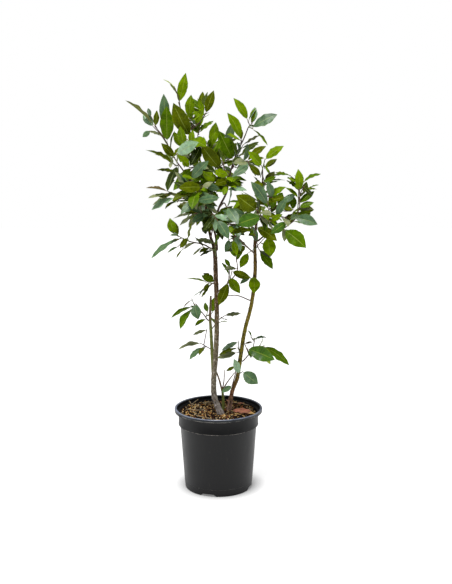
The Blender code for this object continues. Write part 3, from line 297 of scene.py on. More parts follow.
MASSES = {
    "foliage_top": mass("stem_left", TIP, 1, "light", 0, (
        (-141, 0, 1093, 180, 35, 36, 1, "young", EDGE_ON),
        (-83, 20, 1111, 0, 76, 80, 0, "bright"),
    )),
    "foliage_top_right": mass("stem_left", 0.968, 2, "light", 1, (
        (-11, 30, 1067, 10, 70, 64, 1, "olive"),
        (-68, -20, 1054, 300, 80, 62, 1, "bright"),
        (-37, 0, 1024, 330, 65, 50, 0, "bright"),
    )),
    "foliage_top_front": mass("stem_left", 0.940, 3, "mixed", 1, (
        (-112, -60, 1032, 200, 62, 96, 1, "olive"),
        (-94, -80, 975, 250, 60, 62, 1, "bright"),
        (-112, -50, 961, 225, 54, 48, 0, "bright", BROAD),
        (-61, -100, 965, 304, 71, 36, 0, "bright", BROAD),
    )),
    "foliage_far_left": mass("bough_upper_left", TIP, 454, "mixed", 0.2, (
        (-241, 20, 1041, 180, 41, 100, 0, "olive", EDGE_ON),
        (-198, 30, 1007, 145, 44, 48, 0, "pale", BROAD, 1.35),
        (-143, 50, 1059, 90, 82, 88, 0, "blue", None, 0.7),
        (-132, -10, 1026, 270, 86, 93, 0, "mid"),
        (-196, 0, 947, 180, -36, 26, 0, "blue", BROAD, 1.4),
        (-156, -20, 1015, 297, 74, 42, 0, "olive", BROAD),
        (-184, 40, 1022, 130, 58, 25, 0, "blue"),
        (-145, -40, 932, 211, 43, 53, 0, "olive", BROAD),
        (-170, 50, 901, 163, 6, 34, 0, "olive", EDGE_ON),
    )),
    "foliage_left_middle": mass("bough_upper_left", NEAR_TIP, 305, "mixed", 1, (
        (-191, 30, 914, 173, 27, 90, 1, "olive", EDGE_ON),
        (-47, -85, 935, 329, 24, 74, 0, "pale", BROAD),
        (-164, 50, 861, 161, 11, 64, 0, "olive", EDGE_ON),
    )),
    "foliage_left_green": mass("stem_left", 0.838, 6, "mixed", 1.8, (
        (-113, -80, 814, 200, -48, 74, 1, "mid"),
        (-89, -115, 850, 230, 10, 60, 1, "bright"),
        (-101, -95, 904, 220, 40, 51, 0, "lime", BROAD),
    )),
    "foliage_mid_left": mass("bough_mid_left", TIP, 207, "cool", 1, (
        (-186, -40, 818, 190, 9, 58, 1, "bronze", EDGE_ON),
        (-178, -70, 794, 200, -10, 50, 0, "dusty", EDGE_ON),
        (-170, -60, 763, 190, -27, 68, 0, "pale", ASLANT),
        (-171, -20, 772, 185, -31, 57, 0, "dusty", ASLANT),
        (-137, -40, 764, 211, -25, 42, 0, "olive", EDGE_ON),
    )),
    "foliage_second_left": mass("stem_left", 0.752, 8, "cool", 1.8, (
        (-120, 20, 734, 170, -14, 59, 1, "dusty", EDGE_ON),
        (-101, -20, 719, 197, -35, 46, 0, "dusty", ASLANT),
        (-76, -50, 717, 214, -45, 50, 0, "dusty", ASLANT),
        (-88, -30, 759, 206, -35, 28, 0, "blue"),
    )),
    "foliage_low_left": mass("bough_low_left", TIP, 459, "cool", 1, (
        (-124, -50, 742, 223, 71, 46, 1, "bright", BROAD, 1.25),
        (-173, -60, 637, 188, -35, 88, 0, "blue", ASLANT, 0.65),
        (-134, -30, 647, 180, -32, 34, 0, "grass", EDGE_ON),
        (-98, -70, 666, 209, -50, 34, 0, "olive", BROAD),
        (-90, -70, 657, 199, -27, 35, 0, "dusty", ASLANT),
        (-108, -50, 637, 211, -49, 30, 0, "olive", EDGE_ON),
    )),
    "foliage_low_left_inner": mass("stem_left", 0.640, 560, "cool", 1, (
        (-59, -30, 682, 191, 12, 52, 1, "dusty", ASLANT),
        (-49, -50, 651, 218, -18, 34, 0, "olive", ASLANT),
        (-68, -10, 639, 180, -42, 34, 0, "dusty", EDGE_ON),
    )),
    "foliage_centre_top": mass("stem_left", 0.870, 161, "mixed", 2.2, (
        (-42, -75, 929, 209, 49, 79, 1, "olive", BROAD),
        (-70, -80, 875, 225, -52, 64, 1, "deep"),
    )),
    "foliage_centre_blue": mass("stem_left", 0.785, 12, "cool", 2.6, (
        (-22, -115, 890, 331, 42, 69, 1, "blue", BROAD),
        (5, -85, 818, 336, -9, 37, 0, "blue", BROAD),
        (-55, -90, 783, 214, -30, 62, 0, "deep"),
    )),
    "foliage_centre_bright": mass("leader_middle", 0.822, 13, "light", 3.4, (
        (-42, -85, 861, 221, 22, 57, 1, "lime", BROAD),
        (-14, -65, 861, 211, 13, 50, 1, "lime", BROAD),
        (-9, -60, 829, 221, -11, 47, 0, "olive", BROAD),
        (54, -50, 816, 310, -29, 45, 0, "bright", BROAD),
        (74, -80, 814, 329, -1, 59, 0, "pale", ASLANT),
    )),
    "foliage_front_left": mass("bough_front_left", TIP, 164, "mixed", 2.0, (
        (-62, -190, 775, 260, -35, 68, 2, "mid"),
        (-95, -165, 825, 204, -1, 62, 0, "olive", BROAD),
        (5, -170, 802, 341, 9, 61, 0, "blue", BROAD),
        (-66, -90, 735, 217, -20, 53, 0, "blue"),
        (-75, -90, 773, 214, -16, 56, 1, "mid"),
    )),
    "foliage_centre_low": mass("stem_left", 0.690, 15, "shade", 2.4, (
        (12, -100, 690, 290, -40, 70, 2, "deep"),
        (-30, -105, 705, 265, -20, 62, 0, "deep"),
        (31, -130, 709, 212, -6, 66, 0, "olive"),
        (28, -120, 700, 326, -52, 58, 1, "blue"),
        (43, -120, 700, 307, -46, 36, 0, "bright", BROAD),
    )),
    "foliage_front_middle": mass("bough_front_middle", TIP, 16, "mixed", 4.0, (
        (50, -185, 738, 300, -35, 66, 1, "blue"),
        (12, -155, 768, 202, 12, 67, 0, "blue", BROAD),
        (78, -130, 790, 330, 35, 60, 0, "olive", BROAD),
    )),
    "foliage_front_right": mass("stem_right", 0.745, 167, "mixed", 2.4, (
        (45, -150, 807, 210, 34, 74, 0, "olive", BROAD, 1.2),
        (44, -160, 734, 212, -13, 78, 0, "grass", BROAD),
        (111, -115, 770, 219, 53, 39, 0, "bright", BROAD),
        (132, -120, 708, 205, -31, 55, 0, "grass", BROAD),
        (163, -100, 756, 341, 31, 36, 0, "bright", BROAD),
    )),
    "foliage_middle_top": mass("leader_middle", TIP, 318, "light", 1, (
        (98, 80, 1026, 60, 70, 46, 2, "pale"),
        (40, 60, 1049, 180, 57, 70, 0, "bright"),
        (156, 50, 1006, 0, 28, 76, 1, "blue"),
    )),
    "foliage_middle_left": mass("leader_middle", 0.930, 19, "light", 1, (
        (24, 30, 1010, 185, 62, 78, 1, "bright"),
        (-6, 50, 986, 60, 70, 69, 0, "bright"),
    )),
    "foliage_middle_big": mass("leader_middle", 0.878, 20, "mixed", 1, (
        (2, 5, 963, 190, 64, 86, 0, "mid", BROAD),
    )),
    "foliage_middle_right": mass("leader_middle", 0.865, 21, "mixed", 1.6, (
        (110, 30, 952, 0, 30, 52, 1, "mid", EDGE_ON),
        (106, 0, 935, 340, 35, 60, 0, "olive", EDGE_ON),
        (85, -20, 879, 330, 14, 44, 0, "pale", BROAD),
        (36, -60, 847, 214, -27, 60, 1, "blue", ASLANT),
    )),
    "foliage_right_top": mass("stem_right", TIP, 22, "light", 1, (
        (168, -50, 925, 0, 36, 60, 0, "bright", ASLANT),
        (76, -70, 912, 200, 45, 54, 0, "bright", BROAD),
        (79, -60, 877, 198, 41, 43, 0, "olive", BROAD),
        (152, -20, 892, 10, 35, 40, 0, "olive", ASLANT),
    )),
    "foliage_right_blue": mass("stem_right", 0.790, 23, "mixed", 2.0, (
        (186, -20, 850, 0, 5, 52, 1, "mid", EDGE_ON),
        (83, -95, 837, 199, 52, 76, 0, "blue", BROAD),
        (124, -85, 838, 228, 65, 48, 0, "blue", BROAD),
        (148, -60, 848, 0, 23, 36, 0, "mid"),
    )),
    "foliage_far_right": mass("bough_right", TIP, 374, "light", 1.4, (
        (207, -20, 866, 180, 85, 56, 0, "bright", BROAD, 1.15),
        (270, 10, 852, 10, 25, 54, 0, "mid", EDGE_ON),
        (262, -20, 825, 350, 20, 36, 0, "mid", EDGE_ON),
        (148, 0, 855, 193, 11, 44, 0, "olive"),
        (244, -10, 797, 23, -42, 34, 0, "deep", BROAD),
    )),
    "foliage_right_low": mass("bough_right", NEAR_TIP, 325, "mixed", 1.6, (
        (258, -40, 724, 351, -16, 64, 1, "blue", BROAD),
        (226, -75, 667, 336, -36, 75, 0, "mid", BROAD, 1.3),
        (254, 20, 757, 20, -5, 48, 0, "olive", BROAD),
    )),
    "foliage_right_hang": mass("stem_right", 0.668, 26, "mixed", 1, (
        (142, -60, 610, 330, -50, 60, 0, "mid"),
        (134, -100, 647, 286, -67, 54, 0, "bright", BROAD, 1.5),
        (57, -60, 613, 215, -55, 46, 0, "bright"),
        (150, -100, 688, 339, -31, 66, 0, "olive", BROAD),
    )),
    "foliage_right_inner": mass("stem_right", 0.735, 27, "light", 1.6, (
        (203, 0, 801, 15, 30, 46, 2, "pale", BROAD),
        (150, 30, 811, 60, 55, 56, 1, "mid"),
        (198, 20, 795, 83, 61, 42, 0, "mid", BROAD),
        (176, -30, 777, 340, 38, 37, 0, "bright", BROAD),
    )),
    "foliage_front_low": mass("stem_right", 0.650, 28, "shade", 1, (
        (48, -140, 657, 296, -59, 43, 0, "bright", BROAD),
        (18, -140, 664, 241, -53, 38, 0, "blue", BROAD),
    )),
    "foliage_middle_low": mass("stem_left", 0.545, 29, "mixed", 0.35, (
        (26, -80, 680, 200, 60, 44, 1, "mid"),
        (85, -70, 590, 338, -15, 55, 0, "olive", BROAD),
        (57, -80, 551, 313, -42, 55, 0, "bright", BROAD),
        (1, -60, 518, 216, -61, 66, 0, "olive", BROAD),
        (17, -30, 633, 180, 56, 26, 0, "mid"),
    )),
    "foliage_middle_drop": mass("stem_left", 0.560, 30, "mixed", 1, (
        (-41, 30, 586, 161, 25, 35, 0, "olive", BROAD),
        (-92, 20, 572, 180, 8, 62, 0, "bronze", EDGE_ON),
        (-40, -10, 546, 212, -45, 26, 0, "olive"),
        (-71, 20, 520, 180, -32, 41, 0, "blue", EDGE_ON),
    )),
    "foliage_arch": mass("stem_right", 0.520, 131, "mixed", 0, (
        (2, -20, 514, 223, -28, 33, 0, "olive", ASLANT),
    )),
    "foliage_round": mass("stem_right", 0.580, 132, "mixed", 0, (
        (94, -50, 546, 276, -63, 48, 0, "bright", BROAD, 1.5),
        (57, -30, 566, 201, -27, 32, 0, "blue", ASLANT),
    )),
    "foliage_green_left": mass("stem_green", 0.462, 82, "shade", 0.5, (
        (-127, 0, 469, 180, -27, 66, 0, "mid", EDGE_ON),
        (-101, -30, 445, 212, -53, 62, 0, "mid", ASLANT),
        (-52, -50, 475, 296, -59, 44, 0, "blue", BROAD, 1.5),
        (-62, -20, 453, 212, -25, 38, 0, "bright", ASLANT),
        (-35, -20, 516, 238, 68, 31, 0, "mid", BROAD),
        (-10, 20, 523, 0, 82, 44, 0, "bright", BROAD),
        (-95, 20, 493, 180, -42, 33, 0, "bronze", EDGE_ON),
    )),
    "foliage_green_low": mass("stem_green", 0.385, 33, "shade", 0, (
        (-110, 0, 381, 180, -16, 66, 0, "dusty", EDGE_ON),
        (-77, -30, 361, 209, -37, 51, 0, "blue", ASLANT),
        (-51, -40, 376, 230, -35, 32, 0, "olive", ASLANT),
        (-69, 0, 422, 180, -20, 40, 0, "dusty", ASLANT),
    )),
    "foliage_stem_side": mass("stem_green", 0.440, 34, "mixed", 0, (
        (62, 20, 477, 0, 7, 45, 0, "dusty", ASLANT),
        (26, 12, 463, 338, -10, 22, 0, "olive"),
        (27, 30, 452, 0, 3, 24, 0, "bronze", EDGE_ON),
    )),
    "foliage_low_right": mass("stem_right", 0.352, 35, "light", 0.3, (
        (191, -20, 343, 352, -36, 88, 0, "mid", ASLANT),
        (149, -70, 371, 338, -17, 82, 0, "grass", BROAD, 1.1),
        (131, 10, 413, 0, 7, 33, 1, "blue"),
        (139, -40, 351, 330, -46, 29, 0, "young"),
        (92, -10, 405, 336, 15, 24, 0, "bronze", ASLANT),
    )),
    "foliage_low_middle": mass("stem_right", 0.372, 186, "mixed", 0.3, (
        (8, 10, 377, 180, -28, 52, 0, "pale", ASLANT),
        (1, -30, 375, 190, -18, 55, 0, "olive", EDGE_ON),
        (-2, -45, 367, 205, -10, 58, 0, "dusty", ASLANT),
    )),
    "foliage_foot": mass("stem_right", 0.318, 37, "mixed", 0, (
        (106, -45, 299, 339, -34, 53, 0, "blue", BROAD, 1.4),
        (41, -40, 367, 212, 67, 48, 0, "pale"),
    )),
    "foliage_foot_left": mass("stem_right", 0.282, 38, "cool", 0, (
        (21, -20, 328, 180, -27, 27, 0, "olive"),
        (9, -50, 277, 217, -20, 36, 0, "blue", BROAD),
    )),
    "foliage_back_left": mass("bough_back_left", TIP, 39, "mixed", 3.4, (
        (-75, 205, 800, 95, 10, 70, 4, "mid"),
        (-120, 150, 770, 150, 0, 64, 2, "mid"),
        (-20, 170, 740, 50, -20, 66, 3, "mid"),
    )),
    "foliage_back_middle": mass("bough_back_middle", TIP, 40, "mixed", 4.0, (
        (20, 200, 930, 80, 35, 70, 4, "mid"),
        (60, 165, 880, 30, 10, 64, 3, "bright"),
        (-30, 170, 870, 140, 15, 62, 3, "mid"),
    )),
    "foliage_back_right": mass("bough_back_right", TIP, 41, "mixed", 4.0, (
        (115, 190, 780, 90, 10, 72, 4, "mid"),
        (165, 130, 760, 30, -5, 66, 2, "mid"),
        (60, 150, 735, 130, -15, 62, 3, "olive"),
    )),
    "foliage_back_top": mass("bough_back_top", TIP, 42, "light", 1, (
        (-50, 130, 1030, 90, 60, 70, 3, "bright"),
        (-95, 115, 995, 150, 40, 64, 2, "mid"),
    )),
}
# The light and shade palettes deal lit tones and painted-shade tones to masses by where they stand
# in the crown
PALETTES = {
    "light": ("bright", "mid", "bright", "mid", "olive"),
    "mixed": ("mid", "olive", "bright", "blue", "deep", "dusty"),
    "cool": ("blue", "olive", "dusty", "olive", "deep", "mid"),
    "shade": ("deep", "mid", "olive", "deep", "pale"),
}

# The cut shoot between the stems: its green stub, then the dry prongs on top
CUT_SHOOT_SEED = 12
CUT_SHOOT = (
    ((0.0125, 0.002, FOOT, 0.0044), (0.013, 0.006, 0.240, 0.0038), (0.010, 0.010, 0.272, 0.0031)),
    ((0.0098, 0.010, 0.265, 0.0027), (0.003, 0.012, 0.292, 0.0023), (-0.005, 0.013, 0.316, 0.0019)),
    ((0.0100, 0.010, 0.265, 0.0019), (0.015, 0.012, 0.292, 0.0014), (0.016, 0.013, 0.322, 0.0011)),
    ((0.0102, 0.011, 0.265, 0.0021), (0.026, 0.015, 0.290, 0.0016), (0.044, 0.018, 0.3135, 0.0011)),
)

# Growth
STEM_STEP = 0.032
BOUGH_STEP = 0.025
BOUGH_START = 2.5
LIMB_SIDES = 8
GOLDEN_TURN = math.radians(137.5)
TURN_SPREAD = 0.3
TRY_TURN = math.radians(41)
TRIES = 6
NUDGES = (0, -0.01, 0.01, -0.02, 0.02, -0.03, 0.03, -0.045, 0.045, -0.06, 0.06, -0.075)
SIDE_ANGLE = math.radians(58)
FIRST_LEAF = 0.32
LAST_LEAF = 0.94
LEAF_PLACE = (0.2, 0.8)
LEAF_SIZES = (0.78, 1.08)
LEAF_SPREAD = (36, 64)
LEVEL_HEIGHT = 0.86
LIFT_PER_METRE = 1.1
UP_LOOK = 0.8
OUT_LOOK = 0.35
FORWARD_LOOK = 0.35
END_FORWARD_LOOK = 1.5
BACK_HALF = 0.14
LOOK_FADE = 0.08
LOOK_SPREAD = 0.3
TWIG_STEP = 0.03
TWIG_SPANS = 3
TWIG_SIDES = 3
TWIG_BEND = 0.38
TWIG_START = 1.5
TWIG_TIP = 0.0011
TWIG_GROWTH = 0.008
SHOOT_LEAN = 0.5
SHOOT_SHARES = [0.05 * k for k in range(2, 19)]
SHOOT_LEADS = (0.2, 0.4, 0.05, -0.1, -0.25, -0.4)
SIDE_TWIG_CHANCE = 0.25
SIDE_TWIG_LENGTH = 0.55
SIDE_TWIG_RADIUS = 0.8
SIDE_TWIG_LIFT = 0.2
SIDE_TWIG_LEAVES = 2
SIDE_LEAF_SIZE = 0.85
LOWEST_LEAF = POT_HEIGHT + 0.018
LEAF_CLEARANCE = 0.0006

# Leaves, as shares of their own length
LEAF_WIDTH = 0.40
WIDTH_SPREAD = (0.86, 1.14)
LEAF_ARCH = (0.02, 0.08)
LEAF_THICKNESS = 0.015
LEAF_OUTLINE = ((0.30, 0.84), (0.68, 0.90))
ROOT_RADIUS = 0.0005

# Finer growth
FINER_SEED = 900
FINER_PER_METRE = 46
FINER_FIRST = 0.2
FINER_LAST = 0.96
FINER_LENGTHS = (0.028, 0.058)
FINER_TRIES = 8

# The blade of a leaf: rows from petiole to tip, columns across it, and its shares of the length
ROWS = 18
COLUMNS = np.array((-1, -0.82, -0.54, -0.24, -0.036, 0.036, 0.24, 0.54, 0.82, 1))
RIB_COLUMN = 4
RIB_HALF = 0.1
PETIOLE = 0.08
BLADE_SKEW = 0.96
BASE_FULLNESS = 0.66
TIP_FULLNESS = 1.0
BLADE_END = 0.0004
BLADE_THICKNESS = 0.00032
BLADE_END_FILL = 6
BLADE_END_SHARE = 0.2
RIB_HEIGHT = 0.0005
FOLD = (0.04, 0.32)
CUP = (-0.22, 0.16)
WAVES = (2.0, 4.2)
WAVE_HEIGHT = (0.006, 0.028)
RIPPLES = (4, 7)
RIPPLE_SHARE = (0.01, 0.04)
TWIST = (-0.35, 0.35)
BOW = (-0.03, 0.03)
BITE_CHANCE = 0.08
BITE_PLACES = (0.3, 0.85)
BITE_DEPTH = (0.25, 0.6)
BITE_SPAN = 0.05
EDGE_LIMIT = 0.2
EDGE_TILT = Vector((0, -0.28, 0))

# Stalks and buds
PETIOLE_SIDES = 6
PETIOLE_RADIUS = 0.00075
PETIOLE_TAPER = 0.8
PETIOLE_REACH = 2
PETIOLE_STEP = 0.0025
SHORTEST_STEP = 0.001
RED_PETIOLE_CHANCE = 0.3
BUD_LENGTHS = (0.0022, 0.0038)
BUD_SEAT = 0.6
BUD_LEAN = 0.1
END_BUD_LENGTHS = (0.004, 0.0065)
END_BUD_SEAT = 0.0005
BUD_WIDTH = 0.36
BUD_SIDES = 6
BUD_RINGS = ((0.0, 0.55), (0.3, 1.0), (0.65, 0.75), (0.9, 0.3))

# Twigs
TWIG_FINE_STEP = 0.0035
TWIG_FINE_SIDES = 8
TWIG_SEATED = 0.0004
TWIG_NODE_SPAN = 0.0016
TWIG_NODE_SHARE = 0.35
TWIG_END_SHARE = 0.8
RED_TWIG_CHANCE = 0.4
GREEN_TWIG_RADIUS = 0.0014
GREEN_TWIG_CHANCE = 0.45
MASSES_A_PIECE = 8
LOOK_SEED = 5000

# Limbs with their bark: sides and step of the fine mesh, and the relief on it
BARK_SEED = 11
STEM_SIDES = 24
BOUGH_SIDES = 16
BARK_STEP = 0.0026
BOUGH_BARK_STEP = 0.0022
BARK_SHIFT = 50
SWELL_SCALE = 70
SWELL_SHARE = 0.05
RIDGE_SCALE = 1500
RIDGE_STRETCH = 0.25
RIDGE_HEIGHT = 0.00022
FULL_RIDGE_RADIUS = 0.004
NODE_SPACING = (0.018, 0.042)
NODE_SPAN = 0.0022
NODE_SPANS = 3
NODE_SHARE = 0.16
NODE_ALL_ROUND = 0.6
NODE_ONE_SIDE = 0.4
COLLAR_SPAN = 0.004
COLLAR_SHARE = 0.55
SUNK = 0.004
THICKER = {"stem_green": 0.0009}

# Small corky scars on the two old stems
SCAR_SEED = 41
SCARS = 70
RIGHT_STEM_EVERY = 3
SCAR_SIDES = 8
SCAR_RADII = (0.0006, 0.0013)
SCAR_HEIGHTS = (0.22, 0.62)
SCAR_SUNK = 0.25
SCAR_LENGTH = 1.3
SCAR_LEVELS = ((1.0, 0.0), (0.85, 0.35), (0.45, 0.6))

# Finishes. Colours are screen levels. A pattern is its cells a metre, stretch, detail and
# roughness, and a range is where it sets in and where it is full.
EVEN = (1, 1, 1)
WHITE = (1, 1, 1)
NOISE_DETAIL = 4
NOISE_ROUGHNESS = 0.6
USUAL_SPECULAR = 0.5
GRAIN_RANGE = (0.3, 0.7)
# Some leaf tones stand for light: bright for leaves that face the light, deep a painted shade
# inside the crown,
# and blue and pale partly the leaves' own glaucous green and partly a painted sky reflection on
# glossy tops
LEAF_TONES = {
    "bright": (114, 144, 0),
    "mid": (84, 116, 0),
    "grass": (68, 108, 24),
    "olive": (90, 102, 0),
    "deep": (44, 60, 2),
    "blue": (88, 120, 80),
    "pale": (140, 174, 134),
    "young": (172, 188, 80),
    "lime": (136, 166, 0),
    "bronze": (112, 92, 56),
    "dusty": (146, 152, 112),
}
LEAF_GLOSS = {"blue": (0.42, 0.3), "pale": (0.38, 0.5), "deep": (0.42, 0.14), "grass": (0.36, 0.3)}
USUAL_GLOSS = (0.46, 0.05)
UNDER_TONES = {"under": (94, 114, 28), "under_blue": (104, 128, 88), "under_olive": (96, 100, 44)}
UNDER_GLOSS = (0.6, 0.08)
UNDERS = ("under", "under_blue", "under_olive", "under")
COOL_TONES = ("blue", "pale")
PALE_RIB_TONES = ("blue", "pale", "deep")
LEAF_GRAIN = (240, EVEN, 3)
LEAF_SHADES = (0.8, 1.2)
LEAF_CLOUD = (65, EVEN, 2)
LEAF_CLOUD_SHADES = ((0.36, (0.62, 0.66, 0.7)), (0.58, WHITE))
LEAF_RELIEF = (0.15, 0.0006)
LEAF_ROUGHNESS_SPREAD = (-0.06, 0.08)
VEINS = 11
VEIN_WIDTH = 0.09
VEIN_COLOUR = (136, 152, 30)
TOP_VEINS = 0.2
UNDER_VEINS = 0.25
MARGIN_COLOUR = (142, 158, 30)
MARGIN_RANGE = (0.455, 0.5)
MARGIN_SHARE = 0.45
FALLEN_FINISH = ((178, 106, 88), 0.6, 0.3, 0.4)

# Plain finishes: two close colours, cells a metre, roughness, relief and the grain's stretch
LONG_GRAIN = (1, 1, 0.4)
DRY_GRAIN = (1, 1, 0.3)
PLAIN_RANGE = (0.35, 0.65)
PLAIN_RELIEF = 0.0008
PLAIN_ROUGHNESS_SPREAD = 0.08
PLAIN_FINISHES = (
    ("rib", (142, 156, 44), (124, 142, 34), 300, 0.5, 0.1),
    ("rib_pale", (148, 164, 100), (128, 146, 80), 300, 0.5, 0.1),
    ("petiole", (132, 140, 50), (120, 104, 48), 300, 0.5, 0.1),
    ("petiole_red", (128, 62, 52), (104, 46, 44), 300, 0.5, 0.1),
    ("dry", (150, 112, 56), (110, 76, 36), 300, 0.7, 0.2),
    ("twig_brown", (98, 74, 52), (70, 50, 38), 900, 0.65, 0.4, LONG_GRAIN),
    ("twig_red", (88, 48, 40), (62, 34, 32), 900, 0.6, 0.4, LONG_GRAIN),
    ("twig_green", (96, 108, 36), (78, 84, 34), 900, 0.55, 0.3, LONG_GRAIN),
    ("bud", (112, 104, 54), (120, 78, 52), 900, 0.5, 0.2),
    ("scar", (168, 112, 66), (118, 78, 50), 1200, 0.8, 0.5),
    ("dry_fork", (146, 120, 84), (84, 62, 42), 700, 0.8, 0.5, DRY_GRAIN),
    ("dry_twig", (188, 170, 138), (136, 116, 88), 800, 0.8, 0.5, DRY_GRAIN),
    ("fallen_tip", (206, 172, 92), (186, 134, 84), 300, 0.6, 0.2),
    # The lip's pale blue-grey is a painted highlight along the rim
    ("plastic_lip_highlight", (132, 138, 154), (92, 98, 114), 40, 0.3, 0.05),
)
CHIP_TONES = {
    "chip_tan": ((240, 204, 138), (196, 150, 86)),
    "chip_ochre": ((168, 112, 48), (112, 70, 30)),
    "chip_brown": ((74, 42, 24), (44, 26, 16)),
    "chip_dark": ((20, 14, 10), (9, 7, 5)),
    "chip_red": ((118, 58, 34), (80, 38, 24)),
    "chip_pale": ((216, 198, 164), (176, 156, 120)),
}
CHIP_FINISH = (420, 0.9, 0.6, EVEN, 0.2)

# Bark by height: from the first height to the second, each share and its colour, after how
# strongly dark, olive and pale patches show
BARK_HEIGHTS = (0.21, 0.70)
BARKS = {
    "bark_left": (0.85, 0.15, 0.6, (
        (0, (176, 166, 162)), (0.16, (136, 128, 108)), (0.5, (128, 114, 80)),
        (0.62, (116, 88, 52)), (1, (84, 60, 32)),
    )),
    "bark_right": (1.0, 0.4, 0.25, (
        (0, (180, 144, 134)), (0.1, (136, 86, 54)), (0.26, (138, 128, 22)),
        (0.55, (142, 126, 16)), (0.8, (130, 102, 20)), (1, (90, 60, 32)),
    )),
    "bark_bough": (0.85, 0.15, 0.2, ((0, (96, 76, 54)), (1, (92, 70, 50)))),
}
BARK_GLOSS = (0.75, 0.25)
BARK_GRAIN = (620, (1, 1, 0.22), 6)
BARK_GROOVE = (0.3, 0.3, 0.3)
BARK_RELIEF = (0.5, 0.0008)
BARK_ROUGHNESS = (0.66, 0.86)
OLIVE_PATCHES = (55, (1, 1, 0.5), 3)
OLIVE_RANGE = (0.52, 0.66)
OLIVE_COLOUR = (96, 92, 34)
MOTTLE = (190, (1, 1, 0.6), 3, 0.75)
DARK_RANGE = (0.52, 0.62)
DARK_COLOUR = (42, 30, 18)
PALE_RANGE = (0.42, 0.34)
PALE_SHADE = 1.7

# The green stem, brown from near its top on
GREEN_GLOSS = (0.6, 0.35)
GREEN_GRAIN = (700, (1, 1, 0.2), 5)
GREEN_COLOURS = ((88, 98, 36), (126, 132, 58))
GREEN_TOP = (0.445, 0.475)
GREEN_TOP_COLOUR = (112, 92, 66)
GREEN_SPOTS = (90, EVEN, 3)
GREEN_SPOT_RANGE = (0.58, 0.7)
GREEN_SPOT_COLOUR = (70, 58, 36)
GREEN_SPOT_SHARE = 0.7
GREEN_RELIEF = (0.4, 0.0006)
GREEN_ROUGHNESS = (0.5, 0.7)

# Soil bed and plastic
SOIL_GLOSS = (0.95, 0.2)
SOIL_GRAIN = (520, EVEN, 6)
SOIL_COLOURS = ((0.35, (8, 6, 5)), (0.55, (26, 18, 12)), (0.75, (90, 60, 32)))
SOIL_RELIEF = (0.9, 0.002)
PLASTIC_SHEEN = 0.24
PLASTICS = (("plastic", 0.42, PLASTIC_SHEEN), ("plastic_rim", 0.3, 0.4))
RIM_TINT = (0.8, 0.9, 1.0, 1.0)
PLASTIC_GRAIN = (2200, EVEN, 3)
PLASTIC_RELIEF = (0.08, 0.0003)
PLASTIC_CLOUD = (22, (1, 1, 0.5), 4)
PLASTIC_COLOURS = ((0.3, (9, 9, 11)), (0.75, (15, 16, 17)))
PLASTIC_ROUGHNESS_SPREAD = 0.06
DUST = (160, (1, 1, 0.25), 6, 0.7)
DUST_RANGE = (0.58, 0.8)
DUST_COLOUR = (120, 112, 100)
DUST_SHARE = 0.08
# Thin pale lines under the lip, at the collar's foot and on the ring line are a painted highlight,
# broken up by a noise
EDGE_HIGHLIGHT_GLOSS = (0.5, PLASTIC_SHEEN)
EDGE_HIGHLIGHT_NOISE = (45, EVEN, 3)
EDGE_HIGHLIGHT_COLOURS = ((0.4, (24, 24, 26)), (0.62, (142, 138, 132)))
POT_FINISHES = ("plastic", "plastic_rim", "plastic_edge_highlight", "plastic_lip_highlight")
FINISHES = {}

Leaf = namedtuple("Leaf", "base tip face width arch")
Grown = namedtuple("Grown", "leaf twig rank")


def spans_of(line):
    """The distance from each point of a line to the next."""
    return [(b.xyz - a.xyz).length for a, b in zip(line, line[1:])]


def ahead_at(line, i):
    """The way from the point before a point of a line to the one after it."""
    return line[min(i + 1, len(line) - 1)].xyz - line[max(i - 1, 0)].xyz


def smooth_line(stations, step):
    """Points about a step apart on a smooth line through a few (x, y, z, radius) stations."""
    places = [Vector(station) for station in stations]
    spans = spans_of(places)
    slopes = []
    for i in range(len(places)):
        before, after = max(i - 1, 0), min(i + 1, len(places) - 1)
        slopes.append((places[after] - places[before]) / sum(spans[before:after]))
    line = [places[0]]
    for i, span in enumerate(spans):
        count = max(1, round(span / step))
        for k in range(1, count + 1):
            t = k / count
            line.append(
                places[i] * (2 * t**3 - 3 * t**2 + 1)
                + slopes[i] * span * (t**3 - 2 * t**2 + t)
                + places[i + 1] * (3 * t**2 - 2 * t**3)
                + slopes[i + 1] * span * (t**3 - t**2)
            )
    return line


def along_line(line, share):
    """The place, direction and radius at a share of the line's length."""
    spans = spans_of(line)
    left = share * sum(spans)
    for a, b, span in zip(line, line[1:], spans):
        if left <= span or b is line[-1]:
            part = min(left / span, 1)
            return a.xyz.lerp(b.xyz, part), (b.xyz - a.xyz).normalized(), a.w + (b.w - a.w) * part
        left -= span


def share_of(line, where):
    """The share of a limb's length at its end, near it, or at a height."""
    if where == TIP:
        return 1.0
    if where == NEAR_TIP:
        return NEAR_TIP_SHARE
    spans = spans_of(line)
    passed = 0.0
    for a, b, span in zip(line, line[1:], spans):
        if a.z <= where <= b.z:
            return (passed + span * (where - a.z) / (b.z - a.z)) / sum(spans)
        passed += span


def leave_limb(line, where, toward, radius):
    """Where a shoot of this radius starts, just clear of its limb, and the way it sets off."""
    place, along, thickness = along_line(line, share_of(line, where))
    if where == TIP:
        return place + along * CLEAR, along
    way = (toward - place).normalized()
    out = (way - along * way.dot(along)).normalized()
    angle = max(way.angle(along), SIDE_ANGLE)
    start = place + out * (thickness + CLEAR + radius * abs(math.cos(angle)))
    return start, out * math.sin(angle) + along * math.cos(angle)


